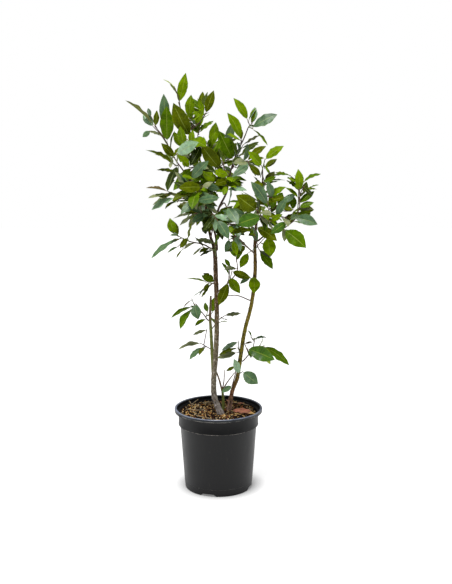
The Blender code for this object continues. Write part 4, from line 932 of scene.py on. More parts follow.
def bent_path(start, heading, end, arrival, radius, tip_radius):
    """A twig from start along heading to end along arrival, as (x, y, z, radius) points."""
    reach = TWIG_BEND * (end - start).length
    first, second = start + heading * reach, end - arrival * reach
    count = min(max(1, round((end - start).length / TWIG_STEP)), TWIG_SPANS)
    path = []
    for k in range(count + 1):
        t = k / count
        place = (
            start * (1 - t) ** 3
            + first * 3 * t * (1 - t) ** 2
            + second * 3 * t**2 * (1 - t)
            + end * t**3
        )
        path.append(Vector((*place, radius + (tip_radius - radius) * t)))
    return path


def framed(line):
    """Each point of a line with the two directions across it, turned as little as may be."""
    across = None
    for i, place in enumerate(line):
        ahead = ahead_at(line, i).normalized()
        across = across or ahead.orthogonal()
        across = (across - ahead * across.dot(ahead)).normalized()
        yield place, across, ahead.cross(across)


def swung(across, other, turn):
    """The direction at this angle from one way across a line towards the other."""
    return across * math.cos(turn) + other * math.sin(turn)


def around(across, other, sides):
    """The angle and direction of each point of a ring."""
    for k in range(sides):
        turn = 2 * math.pi * k / sides
        yield turn, swung(across, other, turn)


def ring_faces(rings, sides):
    """Faces of a closed tube of this many rings, its two ends among them."""
    faces = []
    for i, k in product(range(rings - 1), range(sides)):
        a, b = i * sides + k, i * sides + (k + 1) % sides
        faces.append((a, b, b + sides, a + sides))
    faces.append(tuple(range(sides))[::-1])
    faces.append(tuple(range((rings - 1) * sides, rings * sides)))
    return faces


def fan(first, sides):
    """Faces from a ring of points to the single point that comes after it."""
    return [(first + k, first + (k + 1) % sides, first + sides) for k in range(sides)]


def tube(line, sides, grow=0.0):
    """Points and faces of a closed tapering tube round a line."""
    points = []
    for place, across, other in framed(line):
        points += [place.xyz + rim * (place.w + grow) for _, rim in around(across, other, sides)]
    return points, ring_faces(len(line), sides)


def leaf_axes(leaf):
    """A leaf's length, and the ways that it points, faces and spreads."""
    way = leaf.tip - leaf.base
    length = way.length
    way = way / length
    face = (leaf.face - way * leaf.face.dot(way)).normalized()
    return length, way, face, way.cross(face)


def leaf_solid(leaf, grow=0.0):
    """Points and faces of a leaf: a thin blade with a keel below, arched from root to tip."""
    length, way, face, side = leaf_axes(leaf)
    root = ROOT_RADIUS + grow
    points = [leaf.base + side * root, leaf.base - side * root, leaf.base - face * root]
    for share, fullness in LEAF_OUTLINE:
        middle = leaf.base + way * length * share + face * leaf.arch * 4 * share * (1 - share)
        half = leaf.width * fullness / 2 + grow
        top = middle + face * grow
        keel = middle - face * (LEAF_THICKNESS * length + grow)
        points += [top + side * half, top - side * half, keel]
    points.append(leaf.tip + way * grow)
    sides = ring_faces(1 + len(LEAF_OUTLINE), 3)[:-2]
    return points, [(0, 1, 2)] + sides + fan(3 * len(LEAF_OUTLINE), 3)


def box_of(points):
    """The lowest and highest corners of some points."""
    low = [min(point[axis] for point in points) for axis in range(3)]
    high = [max(point[axis] for point in points) for axis in range(3)]
    return low, high


def direction(bearing, rise):
    """The unit vector with this bearing and this rise above the level, in degrees."""
    turn, up = math.radians(bearing), math.radians(rise)
    return Vector((math.cos(turn) * math.cos(up), math.sin(turn) * math.cos(up), math.sin(up)))


def leaf_face(chance, place, way, forward, spread):
    """The way a leaf's upper side looks: up, out of the crown and, in its front part, forward."""
    outward = Vector((place.x, place.y, 0)).normalized()
    forward *= min(max((BACK_HALF - place.y) / LOOK_FADE, 0), 1)
    look = UP * UP_LOOK + outward * OUT_LOOK - Vector((0, forward, 0))
    look += Vector([chance.uniform(-spread, spread) for _ in range(3)])
    return (look - way * look.dot(way)).normalized()


def new_leaf(chance, base, way, length, forward, spread=LOOK_SPREAD):
    """A leaf of this length from a place on its twig."""
    return Leaf(
        base=base,
        tip=base + way * length,
        face=leaf_face(chance, base, way, forward, spread),
        width=length * LEAF_WIDTH * chance.uniform(*WIDTH_SPREAD),
        arch=length * chance.uniform(*LEAF_ARCH),
    )


def side_look(shoot):
    """How far forward the leaves up a shoot look, and how far they differ."""
    return (EDGE_ON, EDGE_SPREAD) if shoot.turned == EDGE_ON else (FORWARD_LOOK, LOOK_SPREAD)


def nearest_on(line, place):
    """The number of the line's point nearest to a place."""
    return min(range(len(line)), key=lambda i: (line[i].xyz - place).length_squared)


def nearest_share(path, place, lead):
    """The share of a twig where a shoot to this place leaves it, a lead before the nearest."""
    nearest = min(SHOOT_SHARES, key=lambda share: (along_line(path, share)[0] - place).length)
    return min(max(nearest - lead, SHOOT_SHARES[0]), SHOOT_SHARES[-1])


def spiral_ways(along, turn, spread, tries, lift=None):
    """Ways at this spread from a twig, each tried further round it than the one before."""
    across = along.orthogonal().normalized()
    for attempt in range(tries):
        out = swung(across, along.cross(across), turn + attempt * TRY_TURN)
        way = swung(along, out, spread)
        yield (way + lift if lift else way).normalized()


class Crown:
    """The twigs and leaves of every mass, each grown where no limb or other piece stands."""

    def __init__(self, limbs):
        self.limbs = limbs
        self.pieces = []
        self.twigs = {name: [] for name in MASSES}
        self.parents = {name: [] for name in MASSES}
        self.leaves = {name: [] for name in MASSES}
        self.looks = {}
        for name, line in limbs.items():
            self.hold(name, *tube(line, LIMB_SIDES))
        shoots = [(name, random.Random(plan.seed)) for name, plan in MASSES.items()]
        grown = [(name, chance, self.grow_shoots(name, chance)) for name, chance in shoots]
        for name, chance, twigs in grown:
            for key, path, shoot in twigs:
                self.dress(name, chance, key, path, shoot, shoot.leaves, shoot.length, True)
        for name in MASSES:
            self.grow_finer(name)

    def hold(self, owner, points, faces):
        """Notes a piece that later ones keep clear of."""
        self.pieces.append((owner, *box_of(points), BVHTree.FromPolygons(points, faces)))

    def is_free(self, points, faces, parent):
        """Whether these faces cross no piece but the one that they grow from."""
        low, high = box_of(points)
        tree = None
        for owner, other_low, other_high, other in self.pieces:
            apart = any(low[a] > other_high[a] or high[a] < other_low[a] for a in range(3))
            if owner == parent or apart:
                continue
            tree = tree or BVHTree.FromPolygons(points, faces)
            if tree.overlap(other):
                return False
        return True

    def add_twig(self, name, path, parent):
        """Keeps a twig if its space is free, and gives its key in the space, or None."""
        if not self.is_free(*tube(path, TWIG_SIDES, CLEAR), parent):
            return None
        key = (name, len(self.twigs[name]))
        self.hold(key, *tube(path, TWIG_SIDES))
        self.twigs[name].append(path)
        self.parents[name].append(parent)
        return key

    def add_leaf(self, name, leaf, twig, rank=None):
        """Keeps a leaf if its space is free, and says whether it was."""
        points, faces = leaf_solid(leaf, LEAF_CLEARANCE)
        if box_of(points)[0][2] < LOWEST_LEAF or not self.is_free(points, faces, twig):
            return False
        self.hold((name, "leaf"), *leaf_solid(leaf))
        self.leaves[name].append(Grown(leaf, twig, rank))
        return True

    def grow_shoots(self, name, chance):
        """The shoots that a mass is planned with, each with its end leaf."""
        grown = []
        trunk = None
        for rank, shoot in enumerate(MASSES[name].shoots):
            arrival = direction(shoot.bearing, shoot.rise)
            forward, spread = END_FORWARD_LOOK * abs(arrival.z), LOOK_SPREAD
            if shoot.turned is not None:
                forward, spread = shoot.turned, 0
            for nudge, lead in product(NUDGES, SHOOT_LEADS):
                bud = shoot.tip + Vector((0, nudge, 0)) - arrival * shoot.length
                path, parent = self.shoot_path(name, trunk, bud, arrival, lead)
                root = bud - arrival * ROOT_RADIUS
                leaf = new_leaf(chance, root, arrival, shoot.length, forward, spread)
                leaf = leaf._replace(width=leaf.width * shoot.wide)
                if self.is_free(*leaf_solid(leaf, LEAF_CLEARANCE), None):
                    key = self.add_twig(name, path, parent)
                    if key:
                        self.add_leaf(name, leaf, key, rank)
                        trunk = trunk or path
                        grown.append((key, path, shoot))
                        break
        return grown

    def shoot_path(self, name, trunk, bud, arrival, lead):
        """The way of a shoot from its limb, or from the mass's first shoot, and what it leaves."""
        if trunk:
            start, along, thickness = along_line(trunk, nearest_share(trunk, bud, lead))
            radius = min(TWIG_TIP + TWIG_GROWTH * (bud - start).length, thickness)
            heading = ((bud - start).normalized() + along * SHOOT_LEAN).normalized()
            return bent_path(start, heading, bud, arrival, radius, TWIG_TIP), (name, 0)
        limb, where = MASSES[name][:2]
        line = self.limbs[limb]
        span = (bud - along_line(line, share_of(line, where))[0]).length
        radius = TWIG_TIP + TWIG_GROWTH * span
        if where == TIP:
            radius = min(radius, line[-1].w)
        start, heading = leave_limb(line, where, bud, radius)
        straight = start + heading * TWIG_START * radius
        path = bent_path(straight, heading, bud, arrival, radius, TWIG_TIP)
        return [Vector((*start, radius))] + path, limb

    def dress(self, name, chance, twig, path, shoot, count, length, branching):
        """Sets leaves, and here and there a side twig, in a spiral up a twig."""
        self.looks[twig] = side_look(shoot)
        turn = chance.uniform(0, 2 * math.pi)
        for k in range(count):
            step = (k + chance.uniform(*LEAF_PLACE)) / count
            share = FIRST_LEAF + (LAST_LEAF - FIRST_LEAF) * step
            size = length * chance.uniform(*LEAF_SIZES)
            spread = math.radians(chance.uniform(*LEAF_SPREAD))
            branches = branching and chance.random() < SIDE_TWIG_CHANCE
            turn += GOLDEN_TURN + chance.uniform(-TURN_SPREAD, TURN_SPREAD)
            place, along, radius = along_line(path, share)
            lift = UP * (place.z - LEVEL_HEIGHT) * LIFT_PER_METRE
            for way in spiral_ways(along, turn, spread, TRIES, lift):
                if branches:
                    grown = self.branch(name, chance, twig, place, way, radius, shoot, size)
                else:
                    leaf = new_leaf(chance, place, way, size, *side_look(shoot))
                    grown = self.add_leaf(name, leaf, twig)
                if grown:
                    break

    def branch(self, name, chance, parent, place, way, radius, shoot, length):
        """Grows a short twig with an end leaf and two more, and says whether it had room."""
        end = place + way * length * SIDE_TWIG_LENGTH
        arrival = (way + UP * SIDE_TWIG_LIFT).normalized()
        path = bent_path(place, way, end, arrival, radius * SIDE_TWIG_RADIUS, TWIG_TIP)
        size = length * SIDE_LEAF_SIZE
        leaf = new_leaf(chance, end - arrival * ROOT_RADIUS, arrival, size, *side_look(shoot))
        if not self.is_free(*leaf_solid(leaf, LEAF_CLEARANCE), parent):
            return False
        twig = self.add_twig(name, path, parent)
        if twig is None:
            return False
        self.add_leaf(name, leaf, twig)
        self.dress(name, chance, twig, path, shoot, SIDE_TWIG_LEAVES, size, False)
        return True

    def grow_finer(self, name):
        """Smaller leaves on a mass's own twigs, within the reach of its plain solid."""
        low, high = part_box(name)
        plan = MASSES[name]
        chance = random.Random(plan.seed + FINER_SEED)
        for number, path in enumerate(list(self.twigs[name])):
            count = round(sum(spans_of(path)) * FINER_PER_METRE * plan.density)
            turn = chance.uniform(0, 2 * math.pi)
            for k in range(count):
                share = FINER_FIRST + (FINER_LAST - FINER_FIRST) * (k + chance.random()) / count
                place, along, _ = along_line(path, share)
                length = chance.uniform(*FINER_LENGTHS)
                spread = math.radians(chance.uniform(*LEAF_SPREAD))
                turn += GOLDEN_TURN
                for way in spiral_ways(along, turn, spread, FINER_TRIES):
                    leaf = new_leaf(chance, place, way, length, *self.looks[name, number])
                    inside = all(low[a] <= leaf.tip[a] <= high[a] for a in range(3))
                    if inside and self.add_leaf(name, leaf, (name, number)):
                        break


def bough_start(carrier, height, radius, way):
    """The first two places of a bough, just clear of the limb that carries it."""
    start, heading = leave_limb(carrier, height, Vector(way[0][:3]), radius)
    return Vector((*start, radius)), Vector((*(start + heading * BOUGH_START * radius), radius))


def grow_limbs():
    """The line of every stem and bough, as (x, y, z, radius) points."""
    limbs = {}
    for name, stations in STEMS.items():
        limbs[name] = smooth_line(stations, STEM_STEP)
        limbs[name][0].xy = limbs[name][1].xy
    for name, (parent, height, radius, way) in BOUGHS.items():
        first, second = bough_start(limbs[parent], height, radius, way)
        limbs[name] = [first] + smooth_line((second, *way), BOUGH_STEP)
    return limbs


def quads(grid):
    """The four corners of each cell of a grid of point numbers."""
    return np.stack([grid[:-1, :-1], grid[:-1, 1:], grid[1:, 1:], grid[1:, :-1]], -1).reshape(-1, 4)


# The points of a blade: its upper side, and its under side on the same edge
GRID = np.arange((ROWS + 1) * len(COLUMNS)).reshape(ROWS + 1, len(COLUMNS))
UNDER = GRID.copy()
UNDER[1:-1, 1:-1] = GRID.size + np.arange((ROWS - 1) * (len(COLUMNS) - 2)).reshape(ROWS - 1, -1)
TOP_FACES = quads(GRID)
UNDER_FACES = quads(UNDER)[:, ::-1]
ON_RIB = np.tile(np.arange(len(COLUMNS) - 1) == RIB_COLUMN, ROWS)
EDGED = np.isin(np.arange(UNDER.max() + 1), np.intersect1d(GRID, UNDER))


def new_mesh(name, points, faces):
    """A mesh with these points and faces."""
    mesh = bpy.data.meshes.new(name)
    mesh.from_pydata(points, [], faces)
    return mesh


def put(name, data):
    """A new object in the scene."""
    obj = bpy.data.objects.new(name, data)
    bpy.context.scene.collection.objects.link(obj)
    return obj


def dress_as(obj, slot, *nodes):
    """Lets a piece ride on the plant, with the nodes that it stands for; its kind of surface is not
    used.
    """
    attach(obj, "root")
    if nodes:
        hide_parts(*nodes)


def smooth(mesh, finishes):
    """Smooth shading and these finishes for a turned mesh, with its corners kept sharp."""
    mesh.polygons.foreach_set("use_smooth", [True] * len(mesh.polygons))
    mesh.set_sharp_from_angle(angle=SHARP_ANGLE)
    for finish in finishes:
        mesh.materials.append(FINISHES[finish])


class Joined:
    """A joined mesh in the making: its points, faces, the finish of each face and its places."""

    def __init__(self, name, finishes):
        self.name = name
        self.finishes = finishes
        self.points = []
        self.faces = []
        self.marks = []
        self.places = []
        self.edged = []
        self.count = 0

    def add(self, points, faces, marks, places=None, edged=None):
        """Adds some points and faces. Marks name a finish for each face, or one for all."""
        if isinstance(marks, str):
            marks = [marks] * len(faces)
        start = self.count
        self.points.append(np.asarray(points, float))
        self.places.append(np.zeros((len(points), 2)) if places is None else places)
        self.edged.append(np.zeros(len(points), bool) if edged is None else edged)
        self.count += len(points)
        self.add_faces(faces, marks, start)

    def add_faces(self, faces, marks, start):
        """Adds faces whose corners are counted from a starting point."""
        self.faces += [[corner + start for corner in face] for face in faces]
        self.marks += [self.finishes.index(mark) for mark in marks]

    def add_blade(self, points, places, tops, unders):
        """Adds a leaf's blade, with a finish for each face above and below."""
        start = self.count
        self.add(points, TOP_FACES, tops, places, EDGED)
        self.add_faces(UNDER_FACES, unders, start)

    def make(self, slot, *nodes, sharp=None):
        """Makes the object, riding on the plant and standing for these nodes."""
        mesh = new_mesh(self.name, np.concatenate(self.points).tolist(), self.faces)
        mesh.polygons.foreach_set("material_index", self.marks)
        mesh.polygons.foreach_set("use_smooth", [True] * len(self.faces))
        corners = np.empty(len(mesh.loops), int)
        mesh.loops.foreach_get("vertex_index", corners)
        layer = mesh.uv_layers.new(name="place")
        layer.data.foreach_set("uv", np.concatenate(self.places)[corners].ravel())
        edges = np.empty(2 * len(mesh.edges), int)
        mesh.edges.foreach_get("vertices", edges)
        edged = np.concatenate(self.edged)[edges.reshape(-1, 2)].all(1)
        if sharp:
            mesh.set_sharp_from_angle(angle=sharp)
        else:
            mesh.edges.foreach_set("use_edge_sharp", edged)
        for finish in self.finishes:
            mesh.materials.append(FINISHES[finish])
        mesh.update()
        dress_as(put(self.name, mesh), slot, *nodes)


def blade(leaf, chance):
    """Points of a leaf's upper and under side on the source leaf's own line, and their places."""
    length, way, face, side = leaf_axes(leaf)
    along = np.linspace(0, 1, ROWS + 1)[:, None]
    share = PETIOLE + (1 - PETIOLE) * along
    fullness = BASE_FULLNESS + (TIP_FULLNESS - BASE_FULLNESS) * along
    swell = np.sin(np.pi * along**BLADE_SKEW).clip(0)
    full = leaf.width / 2
    half = full * swell**fullness + BLADE_END
    widths = np.repeat(half, len(COLUMNS), 1)
    left, right = COLUMNS < 0, COLUMNS > 0
    for mask in (left, right):
        ripple = chance.uniform(*RIPPLE_SHARE) * np.sin(
            2 * np.pi * (chance.uniform(*RIPPLES) * along + chance.random())
        )
        widths[:, mask] *= 1 + ripple * swell
    if chance.random() < BITE_CHANCE:
        middle, depth = chance.uniform(*BITE_PLACES), chance.uniform(*BITE_DEPTH)
        bite = 1 - depth * np.exp(-(((along - middle) / BITE_SPAN) ** 2))
        widths[:, left if chance.random() < 0.5 else right] *= bite
    across = widths * COLUMNS
    outer = np.abs(COLUMNS)[None, :]
    lift = chance.uniform(*FOLD) * np.abs(across)
    lift = lift + chance.uniform(*CUP) * across**2 / full
    count, height = chance.uniform(*WAVES), chance.uniform(*WAVE_HEIGHT) * length
    for mask in (left, right):
        wave = np.sin(2 * np.pi * (count * along + chance.random())) * swell * height
        lift[:, mask] += (wave * outer**2)[:, mask]
    turn = chance.uniform(*TWIST) * (along - 0.5)
    flat = across * np.cos(turn) - lift * np.sin(turn)
    high = across * np.sin(turn) + lift * np.cos(turn)
    flat = flat + chance.uniform(*BOW) * length * np.sin(np.pi * along)
    high = high + leaf.arch * 4 * share * (1 - share)
    filled = np.minimum(1, BLADE_END_FILL * along * (1 - along) + BLADE_END_SHARE)
    thick = BLADE_THICKNESS / 2 * (1 - outer**4) * filled
    rib = RIB_HEIGHT * (1 - along) * (outer < RIB_HALF)
    middle = np.array(leaf.base) + np.array(way) * (share * length)[..., None]
    middle = middle + np.array(side) * flat[..., None]
    top = middle + np.array(face) * (high + thick)[..., None]
    under = middle + np.array(face) * (high - thick - rib)[..., None]
    places = np.stack(np.broadcast_arrays(COLUMNS[None, :] / 2 + 0.5, along), -1)
    points = np.concatenate([top.reshape(-1, 3), under[1:-1, 1:-1].reshape(-1, 3)])
    places = np.concatenate([places.reshape(-1, 2), places[1:-1, 1:-1].reshape(-1, 2)])
    return points, places


def srgb(*levels):
    """A linear colour from screen levels of 0 to 255."""
    shares = [level / 255 for level in levels]
    return tuple(s / 12.92 if s <= 0.04045 else ((s + 0.055) / 1.055) ** 2.4 for s in shares)


def scaled(colour, amount):
    """A colour made lighter or darker, and held below white."""
    return tuple(min(1, channel * amount) for channel in colour)


def screen(stops):
    """The stops of a ramp, with their colours turned from screen levels."""
    return [(position, srgb(*colour)) for position, colour in stops]


class Finish:
    """A Principled material in the making, with its pattern set in the object's own metres."""

    def __init__(self, name, roughness, specular=USUAL_SPECULAR):
        self.material = bpy.data.materials.new(name)
        self.material.use_nodes = True
        self.tree = self.material.node_tree
        self.shader = self.tree.nodes["Principled BSDF"]
        self.shader.inputs["Roughness"].default_value = roughness
        self.shader.inputs["Specular IOR Level"].default_value = specular
        self.place = self.node("TexCoord", {}, "Object")
        self.colour = None
        FINISHES[name] = self.material

    def node(self, kind, inputs, output, **settings):
        """An output of a new node, with its inputs set to values or joined to other outputs."""
        node = self.tree.nodes.new("ShaderNode" + kind)
        for key, value in settings.items():
            setattr(node, key, value)
        for key, value in inputs.items():
            if isinstance(value, bpy.types.NodeSocket):
                self.tree.links.new(value, node.inputs[key])
            else:
                node.inputs[key].default_value = value
        return node.outputs[output]

    def noise(self, scale, stretch=EVEN, detail=NOISE_DETAIL, roughness=NOISE_ROUGHNESS):
        """A noise of this many cells a metre, as a value round 0.5."""
        place = self.node("Mapping", {"Scale": stretch, "Vector": self.place}, "Vector")
        inputs = {"Scale": scale, "Detail": detail, "Roughness": roughness, "Vector": place}
        return self.node("TexNoise", inputs, "Fac")

    def part(self, vector, axis):
        """A vector's value along one axis."""
        return self.node("SeparateXYZ", {"Vector": vector}, axis)

    def ramp(self, value, *stops):
        """A colour that follows a value through (position, colour) stops."""
        colour = self.node("ValToRGB", {"Fac": value}, "Color")
        elements = colour.node.color_ramp.elements
        while len(elements) < len(stops):
            elements.new(0.5)
        for element, (position, shade) in zip(elements, stops):
            element.position = position
            element.color = (*shade, 1)
        return colour

    def spread(self, value, low, high, new_low, new_high):
        """A value moved evenly from one range to another, and held inside it."""
        ends = {"From Min": low, "From Max": high, "To Min": new_low, "To Max": new_high}
        return self.node("MapRange", {"Value": value, **ends}, "Result")

    def math(self, operation, first, second=0.0):
        """One sum of two values."""
        return self.node("Math", {0: first, 1: second}, "Value", operation=operation)

    def over(self, colour, value):
        """Lays another colour over the present one where the value is high."""
        inputs = {"Factor": value, "A": self.colour, "B": (*colour, 1)}
        self.colour = self.node("Mix", inputs, "Result", data_type="RGBA")

    def times(self, shade):
        """Multiplies the present colour by a shade."""
        inputs = {"Factor": 1, "A": self.colour, "B": shade}
        self.colour = self.node("Mix", inputs, "Result", data_type="RGBA", blend_type="MULTIPLY")

    def bump(self, value, strength, distance):
        """Raises the surface where the value is high."""
        inputs = {"Strength": strength, "Distance": distance, "Height": value}
        normal = self.node("Bump", inputs, "Normal")
        self.tree.links.new(normal, self.shader.inputs["Normal"])

    def done(self, grain=None, smoothest=0, roughest=1):
        """Gives the shader its colour and, if there is a grain, a roughness that follows it."""
        self.tree.links.new(self.colour, self.shader.inputs["Base Color"])
        if grain:
            gloss = self.spread(grain, *GRAIN_RANGE, smoothest, roughest)
            self.tree.links.new(gloss, self.shader.inputs["Roughness"])


def leaf_finish(name, levels, roughness, specular, veined):
    """A leaf's side: one plain tone, faintly mottled, with pale side veins."""
    finish = Finish(name, roughness, specular)
    grain = finish.noise(*LEAF_GRAIN)
    shades = [scaled(srgb(*levels), shade) for shade in LEAF_SHADES]
    finish.colour = finish.ramp(grain, *zip(GRAIN_RANGE, shades))
    finish.times(finish.ramp(finish.noise(*LEAF_CLOUD), *LEAF_CLOUD_SHADES))
    place = finish.node("UVMap", {}, "UV", uv_map="place")
    outward = finish.math("ABSOLUTE", finish.math("SUBTRACT", finish.part(place, "X"), 0.5))
    along = finish.math("MULTIPLY", finish.part(place, "Y"), VEINS)
    slanted = finish.math("SUBTRACT", finish.math("SUBTRACT", along, outward), outward)
    line = finish.math("PINGPONG", slanted, 0.5)
    finish.over(srgb(*VEIN_COLOUR), finish.spread(line, 0, VEIN_WIDTH, veined, 0))
    margin = finish.spread(outward, *MARGIN_RANGE, 0, MARGIN_SHARE)
    finish.over(srgb(*MARGIN_COLOUR), margin)
    finish.bump(finish.math("ADD", grain, line), *LEAF_RELIEF)
    finish.done(grain, *(roughness + more for more in LEAF_ROUGHNESS_SPREAD))


def plain_finish(
    name, light, dark, scale, roughness, bump, stretch=EVEN, specular=USUAL_SPECULAR
):
    """Two close colours in a fine noise, with relief and gloss that follow it."""
    finish = Finish(name, roughness, specular)
    grain = finish.noise(scale, stretch)
    finish.colour = finish.ramp(grain, *screen(zip(PLAIN_RANGE, (light, dark))))
    finish.bump(grain, bump, PLAIN_RELIEF)
    finish.done(grain, roughness - PLAIN_ROUGHNESS_SPREAD, roughness + PLAIN_ROUGHNESS_SPREAD)


def bark_finish(name, dark, olive, pale, colours):
    """Bark that changes colour with its height, grooved and patched."""
    finish = Finish(name, *BARK_GLOSS)
    height = finish.spread(finish.part(finish.place, "Z"), *BARK_HEIGHTS, 0, 1)
    finish.colour = finish.ramp(height, *screen(colours))
    grain = finish.noise(*BARK_GRAIN)
    finish.times(finish.ramp(grain, *zip(GRAIN_RANGE, (BARK_GROOVE, WHITE))))
    patches = finish.spread(finish.noise(*OLIVE_PATCHES), *OLIVE_RANGE, 0, olive)
    finish.over(srgb(*OLIVE_COLOUR), patches)
    mottle = finish.noise(*MOTTLE)
    finish.over(srgb(*DARK_COLOUR), finish.spread(mottle, *DARK_RANGE, 0, dark))
    foot_colour = scaled(srgb(*colours[0][1]), PALE_SHADE)
    finish.over(foot_colour, finish.spread(mottle, *PALE_RANGE, 0, pale))
    finish.bump(grain, *BARK_RELIEF)
    finish.done(grain, *BARK_ROUGHNESS)


def green_bark_finish():
    """The bark of the young stem, green below and brown at its top."""
    finish = Finish("bark_green", *GREEN_GLOSS)
    grain = finish.noise(*GREEN_GRAIN)
    finish.colour = finish.ramp(grain, *screen(zip(GRAIN_RANGE, GREEN_COLOURS)))
    height = finish.part(finish.place, "Z")
    finish.over(srgb(*GREEN_TOP_COLOUR), finish.spread(height, *GREEN_TOP, 0, 1))
    spots = finish.spread(finish.noise(*GREEN_SPOTS), *GREEN_SPOT_RANGE, 0, GREEN_SPOT_SHARE)
    finish.over(srgb(*GREEN_SPOT_COLOUR), spots)
    finish.bump(grain, *GREEN_RELIEF)
    finish.done(grain, *GREEN_ROUGHNESS)


def plastic_finish(name, gloss, sheen):
    """Black moulded plastic, a little clouded and dusty."""
    finish = Finish(name, gloss, sheen)
    grain = finish.noise(*PLASTIC_GRAIN)
    cloud = finish.noise(*PLASTIC_CLOUD)
    finish.colour = finish.ramp(cloud, *screen(PLASTIC_COLOURS))
    dust = finish.spread(finish.noise(*DUST), *DUST_RANGE, 0, DUST_SHARE)
    finish.over(srgb(*DUST_COLOUR), dust)
    finish.bump(grain, *PLASTIC_RELIEF)
    finish.done(cloud, gloss - PLASTIC_ROUGHNESS_SPREAD, gloss + PLASTIC_ROUGHNESS_SPREAD)


def make_finishes():
    """Every material of the plant and its pot."""
    for tone, levels in LEAF_TONES.items():
        leaf_finish(tone, levels, *LEAF_GLOSS.get(tone, USUAL_GLOSS), TOP_VEINS)
    for tone, levels in UNDER_TONES.items():
        leaf_finish(tone, levels, *UNDER_GLOSS, UNDER_VEINS)
    leaf_finish("fallen", *FALLEN_FINISH)
    for row in PLAIN_FINISHES:
        plain_finish(*row)
    for tone, colours in CHIP_TONES.items():
        plain_finish(tone, *colours, *CHIP_FINISH)
    for name, values in BARKS.items():
        bark_finish(name, *values)
    green_bark_finish()
    soil = Finish("soil_bed", *SOIL_GLOSS)
    grain = soil.noise(*SOIL_GRAIN)
    soil.colour = soil.ramp(grain, *screen(SOIL_COLOURS))
    soil.bump(grain, *SOIL_RELIEF)
    soil.done()
    for values in PLASTICS:
        plastic_finish(*values)
    rim = FINISHES["plastic_rim"].node_tree.nodes["Principled BSDF"]
    rim.inputs["Specular Tint"].default_value = RIM_TINT
    # A painted highlight for the pot's thin edge lines
    edge = Finish("plastic_edge_highlight", *EDGE_HIGHLIGHT_GLOSS)
    edge.colour = edge.ramp(edge.noise(*EDGE_HIGHLIGHT_NOISE), *screen(EDGE_HIGHLIGHT_COLOURS))
    edge.done()


def bark_tube(line, sides, chance, flare=0.0):
    """Points and faces of a limb whose bark swells, ridges and bears the scars of old leaves."""
    passed = [0.0, *accumulate(spans_of(line))]
    nodes = []
    place = chance.uniform(*NODE_SPACING)
    while place < passed[-1]:
        nodes.append((place, chance.uniform(0, 2 * math.pi)))
        place += chance.uniform(*NODE_SPACING)
    offset = Vector([chance.uniform(0, BARK_SHIFT) for _ in range(3)])
    points = []
    for (place, across, other), span in zip(framed(line), passed):
        collar = flare * math.exp(-span / COLLAR_SPAN)
        near = [(at, turn) for at, turn in nodes if abs(at - span) < NODE_SPANS * NODE_SPAN]
        for turn, rim in around(across, other, sides):
            at = place.xyz + rim * place.w
            swell = SWELL_SHARE * noise.noise(at * SWELL_SCALE + offset)
            for node, side in near:
                facing = NODE_ALL_ROUND + NODE_ONE_SIDE * math.cos(turn - side)
                swell += NODE_SHARE * facing * math.exp(-(((span - node) / NODE_SPAN) ** 2))
            fine = Vector((at.x, at.y, at.z * RIDGE_STRETCH)) * RIDGE_SCALE + offset
            ridge = RIDGE_HEIGHT * min(1, place.w / FULL_RIDGE_RADIUS) * noise.noise(fine)
            points.append(place.xyz + rim * (place.w * (1 + swell + collar) + ridge))
    return points, ring_faces(len(line), sides)


def sunk_line(stations):
    """A limb's line in short steps, begun a little below the soil."""
    line = smooth_line(stations, BARK_STEP)
    below = line[0].copy()
    below.z -= SUNK
    return [below] + line


def fine_limb(name, limbs, fine_lines):
    """A limb's line in short steps, begun inside what carries it."""
    if name in STEMS:
        line = sunk_line(STEMS[name])
        for place in line:
            place.w += THICKER.get(name, 0)
        return line
    parent, height, radius, way = BOUGHS[name]
    start, second = bough_start(limbs[parent], height, radius, way)
    carrier = fine_lines[parent]
    root = carrier[nearest_on(carrier, start.xyz)]
    line = smooth_line((start, second, *way), BOUGH_BARK_STEP)
    return [Vector((*root.xyz, radius))] + line


def make_limbs(fine_lines):
    """Bark for every stem and bough, each piece standing for its plain solids."""
    chance = random.Random(BARK_SEED)
    for stem in STEMS:
        finish = stem.replace("stem", "bark")
        piece = Joined("bark_of_" + stem, [finish])
        piece.add(*bark_tube(fine_lines[stem], STEM_SIDES, chance), finish)
        piece.make("green_bark" if stem == "stem_green" else "grey_bark", stem)
    boughs = Joined("bark_of_boughs", ["bark_bough"])
    for name in BOUGHS:
        boughs.add(*bark_tube(fine_lines[name], BOUGH_SIDES, chance, COLLAR_SHARE), "bark_bough")
    boughs.make("grey_bark", *BOUGHS)


def make_cut_shoot():
    """The green stub between the stems and the dry forked twig on its top."""
    chance = random.Random(CUT_SHOOT_SEED)
    piece = Joined("cut_shoot_bark", ["bark_green", "dry_fork"])
    stub, *prongs = CUT_SHOOT
    piece.add(*bark_tube(sunk_line(stub), BOUGH_SIDES, chance), "bark_green")
    for prong in prongs:
        piece.add(*bark_tube(smooth_line(prong, BARK_STEP), BOUGH_SIDES, chance), "dry_fork")
    piece.make("green_bark", "cut_shoot")


